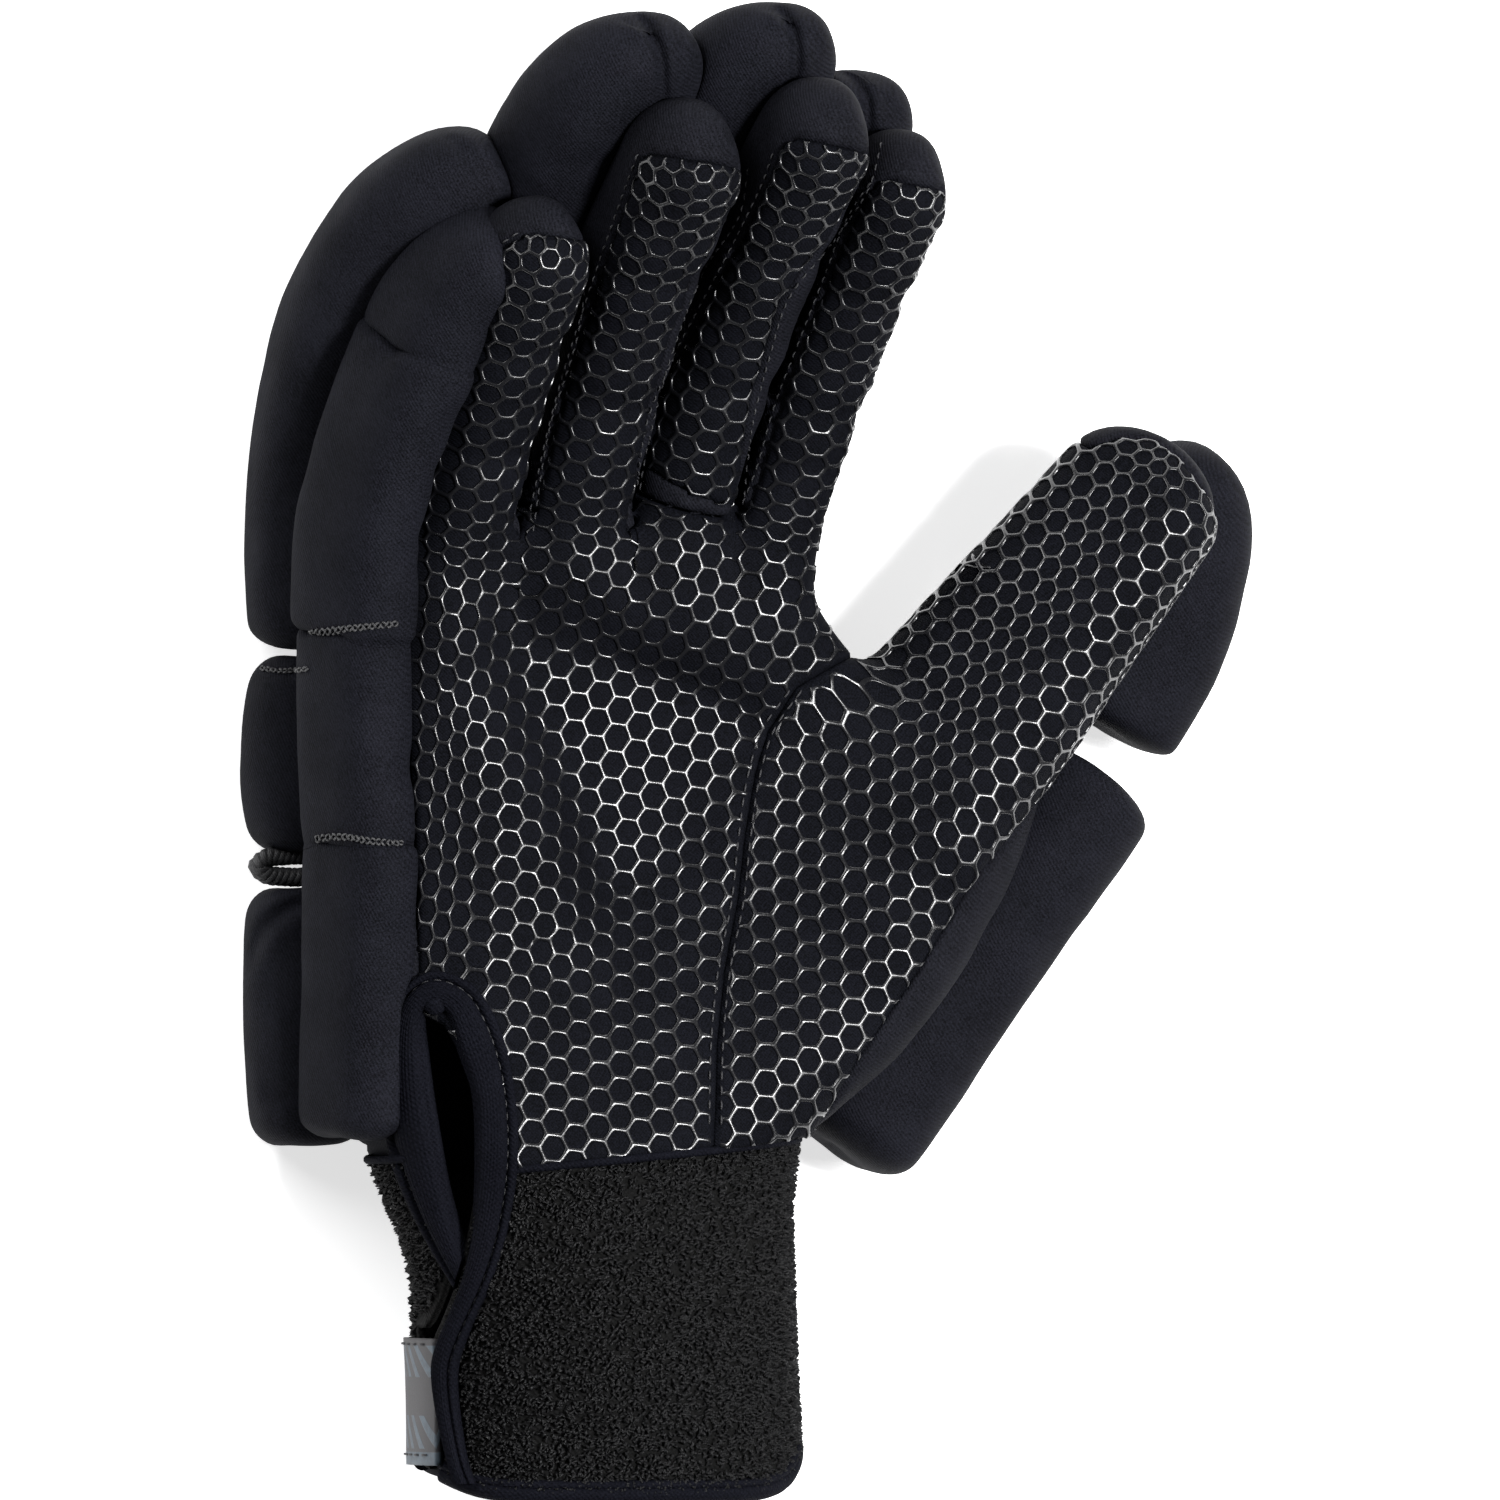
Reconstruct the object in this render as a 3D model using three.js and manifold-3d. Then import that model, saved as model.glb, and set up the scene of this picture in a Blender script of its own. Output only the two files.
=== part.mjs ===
// Indoor hockey glove for the right hand, lying on its back pads with the palm up.
// Millimetres: +X runs toward the thumb, +Y toward the fingertips, +Z out of the palm.
import * as THREE from "three";
import { mergeVertices } from "three/addons/utils/BufferGeometryUtils.js";
import Module from "manifold-3d";

const wasm = await Module();
wasm.setup();
const { degToRad, lerp, clamp } = THREE.MathUtils;

// Cloth, tape and clearances
const CLOTH = 2; // printed knit and neoprene of the hand
const TERRY = 2.6; // looped towelling of the cuff
const TAPE = 1.8; // edge tape, stitched on top of the cloth
const TAB = 1.5; // printed tab of the closure
const GAP = 0.3; // between two sewn pieces
const FAR = 200; // reach of a cutting volume past the glove

// Squareness of the sections, where 2 is an ellipse
const STALL_POWER = 2.5;
const BODY_POWER = 3;
const BACK_POWER = 5; // the back of the hand is flatter, with fuller corners
const CUFF_POWER = 2.2;
const PAD_POWER = 2.6;
const BLOCK_POWER = 4;

// The five stalls. x, y, z is the knuckle; lean turns toward the thumb, tilt rises off the floor
// from knuckle to tip, roll turns the palm side toward the thumb. Degrees and millimetres.
const LIMBS = {
  pinky: {
    x: -66, y: 30, z: 27, lean: 8, tilt: [12, 50], roll: 24,
    length: 75, wide: [20, 17], deep: [23, 20],
  },
  ring: {
    x: -45, y: 34, z: 27, lean: 9, tilt: [12, 54], roll: 18,
    length: 92, wide: [20, 19], deep: [24, 22],
  },
  middle: {
    x: -25.5, y: 36, z: 27, lean: 12, tilt: [12, 54], roll: 14,
    length: 95, wide: [18, 18], deep: [24, 22],
  },
  index: {
    x: -7.6, y: 34, z: 27, lean: 12, tilt: [12, 52], roll: 8,
    length: 86, wide: [17, 16.5], deep: [24, 21],
  },
  thumb: {
    x: 17.4, y: -10.4, z: 28, lean: 38.7, tilt: [1, 8], roll: -28,
    length: 81, wide: [41, 28], deep: [25, 20],
  },
};
const FINGERS = ["pinky", "ring", "middle", "index"];
const ROOT = 14; // length over which a stall sinks into the hand behind its knuckle
const PRINT_STOP = 3; // the print ends this far short of a fingertip
const STALL_START = 9; // a stall's own cloth starts this far past the knuckle
const THUMB_STALL_START = 26;
const SLACK = 0.05; // a cutting volume is this much larger than the form that it takes whole
const STALL_STEP = 22; // between two sections of a stall
const TIP_ROUND = 0.55; // a fingertip is rounded over this share of the stall's depth

// How finely the forms are faceted: corners of one section
const SIDES = { stall: 8, stallInside: 6, body: 16, bodyInside: 12, cuff: 14, bar: 10, pad: 9, block: 8 };

// Sections of the hand from wrist to knuckles: its sides, underside, palm side and palm dip
const BODY = [
  { y: -70, left: -76, right: -1, low: 10, high: 47, dip: 0 },
  { y: -52, left: -77, right: 17, low: 12, high: 45, dip: 2 },
  { y: -32, left: -77, right: 32, low: 13.3, high: 43, dip: 5 },
  { y: -10, left: -76, right: 37, low: 13.3, high: 42, dip: 7 },
  { y: 12, left: -76, right: 13, low: 13.3, high: 41, dip: 7 },
  { y: 28, left: -76, right: 1, low: 13.3, high: 40, dip: 4 },
  { y: 42, left: -74, right: 0, low: 16, high: 38, dip: 2 },
];

// Sections of the cuff from the hand to the hem
const CUFF = [
  { y: -70.3, left: -79, right: -0.5, low: 8, high: 48, dip: 0 },
  { y: -78, left: -75.5, right: -1.5, low: 6, high: 49, dip: 0 },
  { y: -88, left: -71.5, right: -1.5, low: 5, high: 50, dip: 0 },
  { y: -104, left: -70, right: -1, low: 4.5, high: 50, dip: 0 },
  { y: -130, left: -69.5, right: 0, low: 4.5, high: 50, dip: 0, rise: 9 },
];
const HEM_TALL = 5.7; // the hem tape from edge to edge
const HEM_PROUD = 1.4; // the hem tape stands out this far over the terry
const HEM_ZONE_GROW = 8; // the hem's zone reaches this far past the cuff all round

// Seam between palm and thumb panel, from the wrist up to the web, then between the two fingers
const THUMB_SEAM = [
  { x: -18.8, y: -90 }, { x: -18.5, y: -51 }, { x: -14.6, y: -26 },
  { x: -11.7, y: -4 }, { x: -3.9, y: 11 }, { x: 9, y: 18 },
];
const WEB_WAY = [{ x: 22, y: 42 }, { x: 60, y: 120 }, { x: 150, y: 120 }, { x: 150, y: -90 }];
const PALM_END = { x: 22, y: 46 }; // the palm's own region ends between the fingers
const PALM_SEAM_Z = 33; // height of the seam between palm and outer side
const THUMB_SEAM_Z = 26; // height of the seam between thumb panel and back

// Outline of the wrist slit: its wide top, the narrow part down to the hem, and back
const SLIT = [
  { x: -73, y: -45.5 }, { x: -69, y: -47.5 }, { x: -65.3, y: -55 }, { x: -63.3, y: -70 },
  { x: -65.5, y: -91 }, { x: -68.2, y: -102 }, { x: -66.5, y: -135 }, { x: -67.5, y: -135 },
  { x: -69.2, y: -102 }, { x: -66.7, y: -91 }, { x: -73, y: -64 }, { x: -74.8, y: -49 },
];
const SLIT_LOW = 25; // the slit is cut down to this height on the outer side
const TAPE_WIDE = 6; // width of the edge tape beside the slit
const TAPE_LOW = 31; // the tape stays above this height on the outer side
// Space left of the flap's edge, where the tape stops and the tab shows
const TAB_SIDE = [
  { x: -66.2, y: -92 }, { x: -68.7, y: -102 }, { x: -67, y: -136 }, { x: -95, y: -136 },
  { x: -95, y: -92 },
];
const TAB_TOP_Y = -101;
const TAB_TALL = 22;
const TAB_BACK = { x: -42, z: 27 }; // the tab ends here on the back, and lies under this height
const TAB_FRONT_X = -60; // the tab runs under the flap up to here
const TAB_FROM = { x: -95, y: TAB_TOP_Y - TAB_TALL, z: -FAR };

// Middle line of the elastic loop, out and back between the outer pads
const LOOP = [
  { x: -74, y: -18.6 }, { x: -90, y: -18.4 }, { x: -94.2, y: -20.1 }, { x: -90, y: -21.9 },
  { x: -74, y: -21.7 },
];
const LOOP_Z = 12;
const LOOP_R = 1.3;
const LOOP_SIDES = 6;
const LOOP_STEPS = 9;

// Turns one closed geometry into a solid, its shared points merged and its faces turned out.
function solidOf(geometry) {
  geometry.deleteAttribute("normal");
  geometry.deleteAttribute("uv");
  const merged = mergeVertices(geometry, 1e-4);
  const points = merged.attributes.position.array;
  const faces = new Uint32Array(merged.index.array);
  const corner = (i) => new THREE.Vector3().fromArray(points, 3 * faces[i]);
  let volume = 0;
  for (let i = 0; i < faces.length; i += 3)
    volume += corner(i).dot(corner(i + 1).cross(corner(i + 2)));
  if (volume < 0) faces.reverse();
  return new wasm.Manifold(
    new wasm.Mesh({ numProp: 3, vertProperties: points, triVerts: faces }),
  );
}

// A closed skin over rings of equal point count, with a fan over each end.
function loft(rings) {
  const count = rings[0].length;
  const middle = (ring) =>
    ring.reduce((sum, p) => sum.add(p), new THREE.Vector3()).divideScalar(count);
  const points = [...rings.flat(), middle(rings[0]), middle(rings.at(-1))];
  const first = rings.length * count;
  const faces = [];
  for (let i = 0; i < count; i++) {
    const next = (i + 1) % count;
    for (let row = 0; row < rings.length - 1; row++) {
      const a = row * count;
      const b = a + count;
      faces.push(a + i, a + next, b + next, a + i, b + next, b + i);
    }
    const last = (rings.length - 1) * count;
    faces.push(first, next, i, first + 1, last + i, last + next);
  }
  const geometry = new THREE.BufferGeometry().setFromPoints(points);
  geometry.setIndex(faces);
  return solidOf(geometry);
}

// One coordinate of a unit outline that is squarer than a circle, from its sine or cosine.
const squared = (c, power) => Math.sign(c) * Math.abs(c) ** (2 / power);

// A ring of points round a frame: full width along across, full depth along up.
function ovalRing(frame, wide, deep, power, count) {
  return Array.from({ length: count }, (_, i) => {
    const turn = ((i + 0.5) / count) * 2 * Math.PI;
    return frame.centre
      .clone()
      .addScaledVector(frame.across, (wide / 2) * squared(Math.cos(turn), power))
      .addScaledVector(frame.up, (deep / 2) * squared(Math.sin(turn), power));
  });
}

// The frame of a stall at a distance from its knuckle, along a curve of steady bend.
function limbFrame(limb, distance) {
  const [start, end] = limb.tilt.map(degToRad);
  const bend = (end - start) / limb.length;
  const bent = Math.max(distance, 0);
  const tilt = start + bend * bent;
  const out = (Math.sin(tilt) - Math.sin(start)) / bend + Math.min(distance, 0) * Math.cos(start);
  const rise = (Math.cos(start) - Math.cos(tilt)) / bend + Math.min(distance, 0) * Math.sin(start);
  const [lean, roll] = [degToRad(limb.lean), degToRad(limb.roll)];
  const heading = new THREE.Vector3(Math.sin(lean), Math.cos(lean), 0);
  const centre = new THREE.Vector3(limb.x, limb.y, limb.z + rise).addScaledVector(heading, out);
  const flat = new THREE.Vector3(Math.cos(lean), -Math.sin(lean), 0);
  const lift = heading.clone().multiplyScalar(-Math.sin(tilt));
  lift.z = Math.cos(tilt);
  const mix = (a, b, turn) =>
    a.clone().multiplyScalar(Math.cos(turn)).addScaledVector(b, Math.sin(turn));
  return { centre, across: mix(flat, lift, -roll), up: mix(lift, flat, roll) };
}

// Width and depth of a stall at a distance from its knuckle, without the round of its tip.
function limbSize(limb, distance) {
  const share = clamp(distance / limb.length, 0, 1);
  const root = 1 - 0.5 * (Math.min(distance, 0) / ROOT) ** 2;
  return { wide: lerp(...limb.wide, share) * root, deep: lerp(...limb.deep, share) * root };
}

// A stall as a solid with a round tip, grown or shrunk all round.
function limbSolid(limb, grow, start, count = SIDES.stall) {
  const tipRound = limb.deep[1] * TIP_ROUND;
  const end = limb.length + grow;
  const stations = [start];
  for (let s = 0; s < end - tipRound; s += STALL_STEP) {
    if (s > start + STALL_STEP / 5) stations.push(s);
  }
  for (const share of [0, 0.6, 0.92]) stations.push(end - tipRound * (1 - share));
  const rings = stations.map((s) => {
    const size = limbSize(limb, s);
    const past = Math.max(0, (s - end + tipRound) / tipRound);
    const round = Math.sqrt(1 - past * past);
    return ovalRing(
      limbFrame(limb, s),
      (size.wide + 2 * grow) * round,
      (size.deep + 2 * grow) * round,
      STALL_POWER,
      count,
    );
  });
  return loft(rings);
}

// Domed ends of the pads: where their two extra sections are, and how square the dome is
const DOME_SHARES = [0.03, 0.4];
const DOME_POWER = 2.2;
const BAR_END_ROUND = 0.42; // a bar's end is rounded over this share of its width
const PAD_SINK = 5; // a pad on a stall's back is pressed this far onto the stall
const PAD_STEP = 14; // between two sections of such a pad

// Foam bars that lie along the hand. way is the middle line from wrist end to finger end.
const BARS = {
  side_pad_lower: {
    way: [{ x: -80, y: -66, z: 26 }, { x: -80, y: -42, z: 28 }, { x: -80.5, y: -17, z: 30 }],
    wide: 13, deep: 22, turn: 20,
  },
  side_pad_middle: {
    way: [{ x: -80.5, y: -16, z: 30 }, { x: -81, y: 2, z: 30 }, { x: -82, y: 20.5, z: 31 }],
    wide: 13, deep: 22, turn: 20,
  },
  side_pad_upper: {
    way: [{ x: -82.5, y: 21.5, z: 31 }, { x: -82.5, y: 40, z: 34 }, { x: -79.5, y: 60, z: 40 },
      { x: -75.5, y: 76, z: 48 }],
    wide: 14, deep: 24, turn: 24,
  },
  outer_pad_lower: {
    way: [{ x: -85, y: -69, z: 9.8 }, { x: -85.5, y: -46, z: 9.8 }, { x: -85.5, y: -23.5, z: 9.8 }],
    wide: 20, deep: 20.4,
  },
  outer_pad_middle: {
    way: [{ x: -85.5, y: -16.8, z: 9.8 }, { x: -85.8, y: -1, z: 9.8 }, { x: -85.5, y: 15.5, z: 9.8 }],
    wide: 20, deep: 20.4,
  },
  outer_pad_upper: {
    way: [{ x: -85, y: 18.5, z: 10.5 }, { x: -85.5, y: 42, z: 14 }, { x: -85.5, y: 62, z: 21 },
      { x: -83, y: 81, z: 31 }, { x: -75, y: 96, z: 42 }, { x: -63, y: 102, z: 50 }],
    wide: 21, deep: 21, steps: 6,
  },
  side_pad_tip: {
    way: [{ x: -76, y: 75, z: 48 }, { x: -70, y: 87, z: 54 }, { x: -61, y: 96, z: 60 }],
    wide: 17, deep: 22, turn: 30, sides: 8, steps: 3,
  },
  thumb_base_pad: {
    way: [{ x: 12.5, y: -69, z: 11 }, { x: 36, y: -36, z: 11 }, { x: 60.5, y: -3, z: 12 }],
    wide: 25, deep: 23,
  },
  thumb_tip_pad: {
    way: [{ x: 60.5, y: 2, z: 12 }, { x: 69.5, y: 22, z: 13 }, { x: 72.5, y: 40, z: 17 },
      { x: 69, y: 53, z: 22 }],
    wide: 30, deep: 22,
  },
};

// Blocks of foam under the back of the hand: a row from side to side for each y range.
const BLOCK_ROWS = [
  { name: "back_pad_lower", from: -69, to: -23.5, edges: [-74, -50, -26, -2] },
  { name: "back_pad_upper", from: -16.8, to: 15.5, edges: [-74, -49, -24, 2] },
  { name: "knuckle_pad", from: 18, to: 33, edges: [-74, -55, -36.5, -18.5, 0] },
];
const BLOCK_DEEP = 16;
const BLOCK_SUNK = 0.6; // the floor takes this much off the blocks, which flattens them
const BLOCK_APART = 0.8; // between two blocks of a row

// Pads on the backs of the three long stalls, a row for each: from and to along the stall, and
// shift toward the thumb
const STALL_PADS = [
  { stall: "ring", name: "rib_lower", from: 4, to: 19, wide: 19, thick: 11, shift: 0 },
  { stall: "ring", name: "rib_upper", from: 20, to: 36, wide: 20, thick: 11, shift: -1 },
  { stall: "ring", name: "tip_pad", from: 37, to: 95, wide: 31, thick: 12, shift: -8.5 },
  { stall: "middle", name: "rib_lower", from: 4, to: 19, wide: 18, thick: 11, shift: 0 },
  { stall: "middle", name: "rib_upper", from: 20, to: 36, wide: 19, thick: 11, shift: 0 },
  { stall: "middle", name: "tip_pad", from: 37, to: 94.5, wide: 29, thick: 12, shift: -7.5 },
  { stall: "index", name: "rib_lower", from: 3, to: 18, wide: 21, thick: 11, shift: 3.5 },
  { stall: "index", name: "rib_upper", from: 19, to: 36, wide: 22, thick: 11, shift: 3.5 },
  { stall: "index", name: "tip_pad", from: 37, to: 83, wide: 26, thick: 11, shift: -7.5 },
];

// Rings of a tube-like form given by section rows, grown or shrunk all round. A row's dip lowers
// the middle of its palm side, its rise moves both its sides toward the fingers.
function sectionRings(rows, grow, power, underPower, count) {
  return rows.map((row) => {
    const centreX = (row.left + row.right) / 2;
    const centreZ = (row.low + row.high) / 2;
    const halfX = (row.right - row.left) / 2 + grow;
    const halfZ = (row.high - row.low) / 2 + grow;
    return Array.from({ length: count }, (_, i) => {
      const turn = ((i + 0.5) / count) * 2 * Math.PI;
      const upper = Math.sin(turn) > 0;
      const u = squared(Math.cos(turn), upper ? power : underPower);
      const v = squared(Math.sin(turn), upper ? power : underPower);
      const dip = upper ? row.dip * (1 - u * u) : 0;
      const y = row.y + (row.rise ?? 0) * u ** 8;
      return new THREE.Vector3(centreX + halfX * u, y, centreZ + halfZ * v - dip);
    });
  });
}

// How far an inside runs past the end of its form, so that the end is open
const OPEN_END = 3;

// The hand's form, its inside open at the wrist.
function bodySolid(grow, count = SIDES.body) {
  const rows = BODY.map((row) => ({ ...row }));
  rows.at(-1).y += grow;
  rows[0].y -= grow < 0 ? OPEN_END : grow;
  return loft(sectionRings(rows, grow, BODY_POWER, BACK_POWER, count));
}

// The cuff's form, its inside open at both ends.
function cuffSolid(grow) {
  const rows = CUFF.map((row) => ({ ...row }));
  rows[0].y += grow < 0 ? OPEN_END : grow;
  if (grow < 0) rows.at(-1).y -= OPEN_END;
  return loft(sectionRings(rows, grow, CUFF_POWER, CUFF_POWER, SIDES.cuff));
}

// An upright prism over an outline in x and y.
function prism(outline, low, high) {
  const shape = new THREE.Shape(outline.map((p) => new THREE.Vector2(p.x, p.y)));
  const geometry = new THREE.ExtrudeGeometry(shape, { depth: high - low, bevelEnabled: false });
  return solidOf(geometry.translate(0, 0, low));
}

// A box between two corners.
function block(from, to) {
  const geometry = new THREE.BoxGeometry(to.x - from.x, to.y - from.y, to.z - from.z);
  geometry.translate((from.x + to.x) / 2, (from.y + to.y) / 2, (from.z + to.z) / 2);
  return solidOf(geometry);
}

// An outline moved out by a distance along the normals of its corners.
function widened(outline, distance) {
  const count = outline.length;
  const area = outline.reduce((sum, p, i) => {
    const q = outline[(i + 1) % count];
    return sum + p.x * q.y - q.x * p.y;
  }, 0);
  return outline.map((p, i) => {
    const before = outline[(i + count - 1) % count];
    const after = outline[(i + 1) % count];
    const along = new THREE.Vector2(after.x - before.x, after.y - before.y).normalize();
    const side = distance * Math.sign(area);
    return { x: p.x + along.y * side, y: p.y - along.x * side };
  });
}

// The space in front of a stall's middle, up to where its print ends.
function frontOf(limb, sink, end) {
  const stations = [-ROOT];
  for (let s = 0; s < end; s += STALL_STEP) stations.push(s);
  stations.push(end);
  const rings = stations.map((s) => {
    const { centre, across, up } = limbFrame(limb, s);
    const { wide, deep } = limbSize(limb, s);
    const corner = (a, b) => centre.clone().addScaledVector(across, a).addScaledVector(up, b);
    const [side, top] = [wide / 2 + 2 * GAP, deep / 2 + CLOTH];
    return [corner(-side, -sink), corner(side, -sink), corner(side, top), corner(-side, top)];
  });
  return loft(rings);
}

// The largest body of a cut solid.
function mainBody(solid) {
  return solid.decompose().reduce((best, one) => (one.volume() > best.volume() ? one : best));
}

// Sections between two places that are a domed end's length inside a pad's ends, with two more
// in each dome.
function domedStations(from, to, endRound, steps) {
  const flat = to - from - 2 * endRound;
  const inside = Array.from({ length: steps + 1 }, (_, i) => from + endRound + (i / steps) * flat);
  const dome = DOME_SHARES.map((share) => share * endRound);
  return [...dome.map((s) => from + s), ...inside, ...dome.map((s) => to - s).reverse()];
}

// How full a domed end is at a distance from it, from 0 at the tip to 1.
function domed(distance, endRound) {
  const short = Math.max(0, 1 - distance / endRound);
  return (1 - short ** DOME_POWER) ** (1 / DOME_POWER);
}

// A foam bar through table points, oval across, with domed ends.
// turn leans the oval's upper end toward the thumb, in degrees.
function barSolid(bar, grow = 0) {
  const { way, wide, deep, turn = 0, power = PAD_POWER, sides = SIDES.bar, steps = 4 } = bar;
  const curve = new THREE.CatmullRomCurve3(way.map((p) => new THREE.Vector3(p.x, p.y, p.z)));
  const reach = curve.getLength();
  const endRound = Math.min(wide, deep) * BAR_END_ROUND;
  const rings = domedStations(0, reach, endRound, steps).map((s) => {
    const along = curve.getTangentAt(s / reach);
    const centre = curve.getPointAt(s / reach);
    const lean = degToRad(turn);
    const upright = new THREE.Vector3(Math.sin(lean), 0, Math.cos(lean));
    const across = new THREE.Vector3().crossVectors(along, upright).normalize();
    const up = new THREE.Vector3().crossVectors(across, along);
    const round = domed(Math.min(s, reach - s), endRound);
    const stretch = s < reach / 2 ? -grow : grow;
    return ovalRing(
      { centre: centre.addScaledVector(along, round < 1 ? stretch : 0), across, up },
      wide * round + 2 * grow,
      deep * round + 2 * grow,
      power,
      sides,
    );
  });
  return loft(rings);
}

// A foam pad on the back of a stall, as an oval loft that follows the stall's bend.
// shift moves it toward the thumb.
function backPad(pad, grow = 0) {
  const { from, to, wide, thick, shift } = pad;
  const limb = LIMBS[pad.stall];
  const steps = Math.max(1, Math.round((to - from) / PAD_STEP));
  const endRound = Math.min(thick * 0.75, (to - from) * 0.35);
  const rings = domedStations(from, to, endRound, steps).map((s) => {
    const frame = limbFrame(limb, s);
    const size = limbSize(limb, s);
    const round = domed(Math.min(s - from, to - s), endRound);
    const deep = (thick + 2 * PAD_SINK) * round;
    frame.centre.addScaledVector(frame.up, -(size.deep / 2 + thick / 2));
    frame.centre.addScaledVector(frame.across, shift);
    return ovalRing(frame, wide * round + 2 * grow, deep + 2 * grow, PAD_POWER, SIDES.pad);
  });
  return loft(rings);
}

// The hand with its five stalls, grown or shrunk all round
function gloveForm(grow, stallStart = 2 - ROOT, stallSides = SIDES.stall, bodySides = SIDES.body) {
  const stalls = Object.values(LIMBS).map((limb) => limbSolid(limb, grow, stallStart, stallSides));
  return stalls.reduce((sum, stall) => sum.add(stall), bodySolid(grow, bodySides));
}
const hollow = gloveForm(-CLOTH, -ROOT, SIDES.stallInside, SIDES.bodyInside);
const handForm = gloveForm(0);
const handFormClear = gloveForm(GAP);
const slitCut = prism(SLIT, SLIT_LOW, FAR);
const handShell = handForm.subtract(hollow).subtract(slitCut);

// The space of the printed palm with its four finger fronts, and the space of the thumb panel
const thumbSide = [...THUMB_SEAM, ...WEB_WAY];
function palmSpace(grow) {
  const palm = block({ x: -FAR, y: -FAR, z: PALM_SEAM_Z - grow }, { ...PALM_END, z: FAR });
  return FINGERS.reduce((sum, name) => {
    const limb = LIMBS[name];
    return sum.add(frontOf(limb, grow, limb.length - PRINT_STOP + grow));
  }, palm);
}
function thumbSpace(grow) {
  const limb = LIMBS.thumb;
  const wedge = prism(thumbSide, -FAR, FAR);
  const front = frontOf(limb, grow, limb.length - PRINT_STOP + grow).intersect(wedge);
  return prism(widened(thumbSide, 2 * grow - GAP), THUMB_SEAM_Z - grow, FAR).add(front);
}
const thumbPanel = handShell.intersect(thumbSpace(0));
const palmPanel = handShell.intersect(palmSpace(0)).subtract(prism(thumbSide, 0, FAR));

const pieces = [];
const put = (name, solid, look) => pieces.push({ name, solid: mainBody(solid), look });

put("palm_panel", palmPanel, "print");
put("thumb_panel", thumbPanel, "print");
let handBack = handShell.subtract(palmSpace(GAP)).subtract(thumbSpace(GAP));
for (const [name, limb] of Object.entries(LIMBS)) {
  const start = name === "thumb" ? THUMB_STALL_START : STALL_START;
  put(`${name}_stall`, handBack.intersect(limbSolid(limb, SLACK, start)), "knit");
  handBack = handBack.subtract(limbSolid(limb, SLACK + GAP, start - GAP));
}
put("hand_back", handBack, "knit");

// Terry cuff, open along the slit, and the tape round its hem
const cuffBody = cuffSolid(0).subtract(cuffSolid(-TERRY)).subtract(slitCut);
function hemZone(grow) {
  const edge = CUFF.at(-1);
  const rows = [HEM_TALL + grow, -OPEN_END].map((up) => ({ ...edge, y: edge.y + up }));
  return loft(sectionRings(rows, HEM_ZONE_GROW, CUFF_POWER, CUFF_POWER, SIDES.cuff));
}
put("cuff", cuffBody.subtract(hemZone(GAP)), "terry");
const hemRing = cuffSolid(HEM_PROUD).subtract(cuffSolid(-TERRY - HEM_PROUD));
put("hem_tape", hemRing.intersect(hemZone(0)).subtract(slitCut), "tape");

// A skin of even thickness over the hand and cuff
function skin(thick, clear = GAP) {
  const over = gloveForm(clear + thick).add(cuffSolid(clear + thick));
  return over.subtract(gloveForm(clear).add(cuffSolid(clear)));
}
function tapeSpace(grow) {
  const ring = prism(widened(SLIT, TAPE_WIDE + grow), TAPE_LOW - grow, FAR);
  return ring.subtract(prism(widened(SLIT, -grow), 0, FAR)).subtract(prism(TAB_SIDE, 0, FAR));
}
put("slit_tape", skin(TAPE).intersect(tapeSpace(0)).subtract(hemZone(GAP)), "tape");

// Printed tab that lies on the cuff beside the flap and runs round to the back
const tabBand = cuffSolid(GAP + TAB).subtract(cuffSolid(GAP));
const tabReach = block(TAB_FROM, { ...TAB_BACK, y: TAB_TOP_Y })
  .add(block(TAB_FROM, { x: TAB_FRONT_X, y: TAB_TOP_Y, z: FAR }));
const tabSeen = tabReach.subtract(tapeSpace(GAP)).subtract(hemZone(GAP));
put("closure_tab", tabBand.intersect(tabSeen), "tab");

// Foam pads. Each is cut clear of the hand and of the pads placed before it.
const aboveFloor = block({ x: -FAR, y: -FAR, z: 0 }, { x: FAR, y: FAR, z: FAR });
let taken = handFormClear.add(skin(TAPE + GAP, 0).intersect(tapeSpace(GAP)));
function putPad(name, make) {
  put(name, make(0).subtract(taken).intersect(aboveFloor), "foam");
  taken = taken.add(make(GAP));
}
for (const [name, bar] of Object.entries(BARS)) putPad(name, (grow) => barSolid(bar, grow));
for (const row of BLOCK_ROWS)
  row.edges.slice(1).forEach((right, i) => {
    const left = row.edges[i];
    const x = (left + right) / 2;
    const z = BLOCK_DEEP / 2 - BLOCK_SUNK;
    const bar = {
      way: [{ x, y: row.from, z }, { x, y: (row.from + row.to) / 2, z }, { x, y: row.to, z }],
      wide: right - left - BLOCK_APART, deep: BLOCK_DEEP, power: BLOCK_POWER,
      sides: SIDES.block, steps: 1,
    };
    putPad(`${row.name}_${i + 1}`, (grow) => barSolid(bar, grow));
  });
for (const pad of STALL_PADS)
  putPad(`${pad.stall}_${pad.name}`, (grow) => backPad(pad, grow));

// Elastic loop between the middle and lower pads of the outer row
const loopWay = new THREE.CatmullRomCurve3(
  LOOP.map((p) => new THREE.Vector3(p.x, p.y, LOOP_Z)),
);
const loopSection = new THREE.Shape(
  Array.from({ length: LOOP_SIDES }, (_, i) => {
    const turn = (i / LOOP_SIDES) * 2 * Math.PI;
    return new THREE.Vector2(LOOP_R * Math.cos(turn), LOOP_R * Math.sin(turn));
  }),
);
const loopTube = new THREE.ExtrudeGeometry(loopSection, { steps: LOOP_STEPS, extrudePath: loopWay });
put("elastic_loop", solidOf(loopTube).subtract(taken), "knit");

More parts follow.
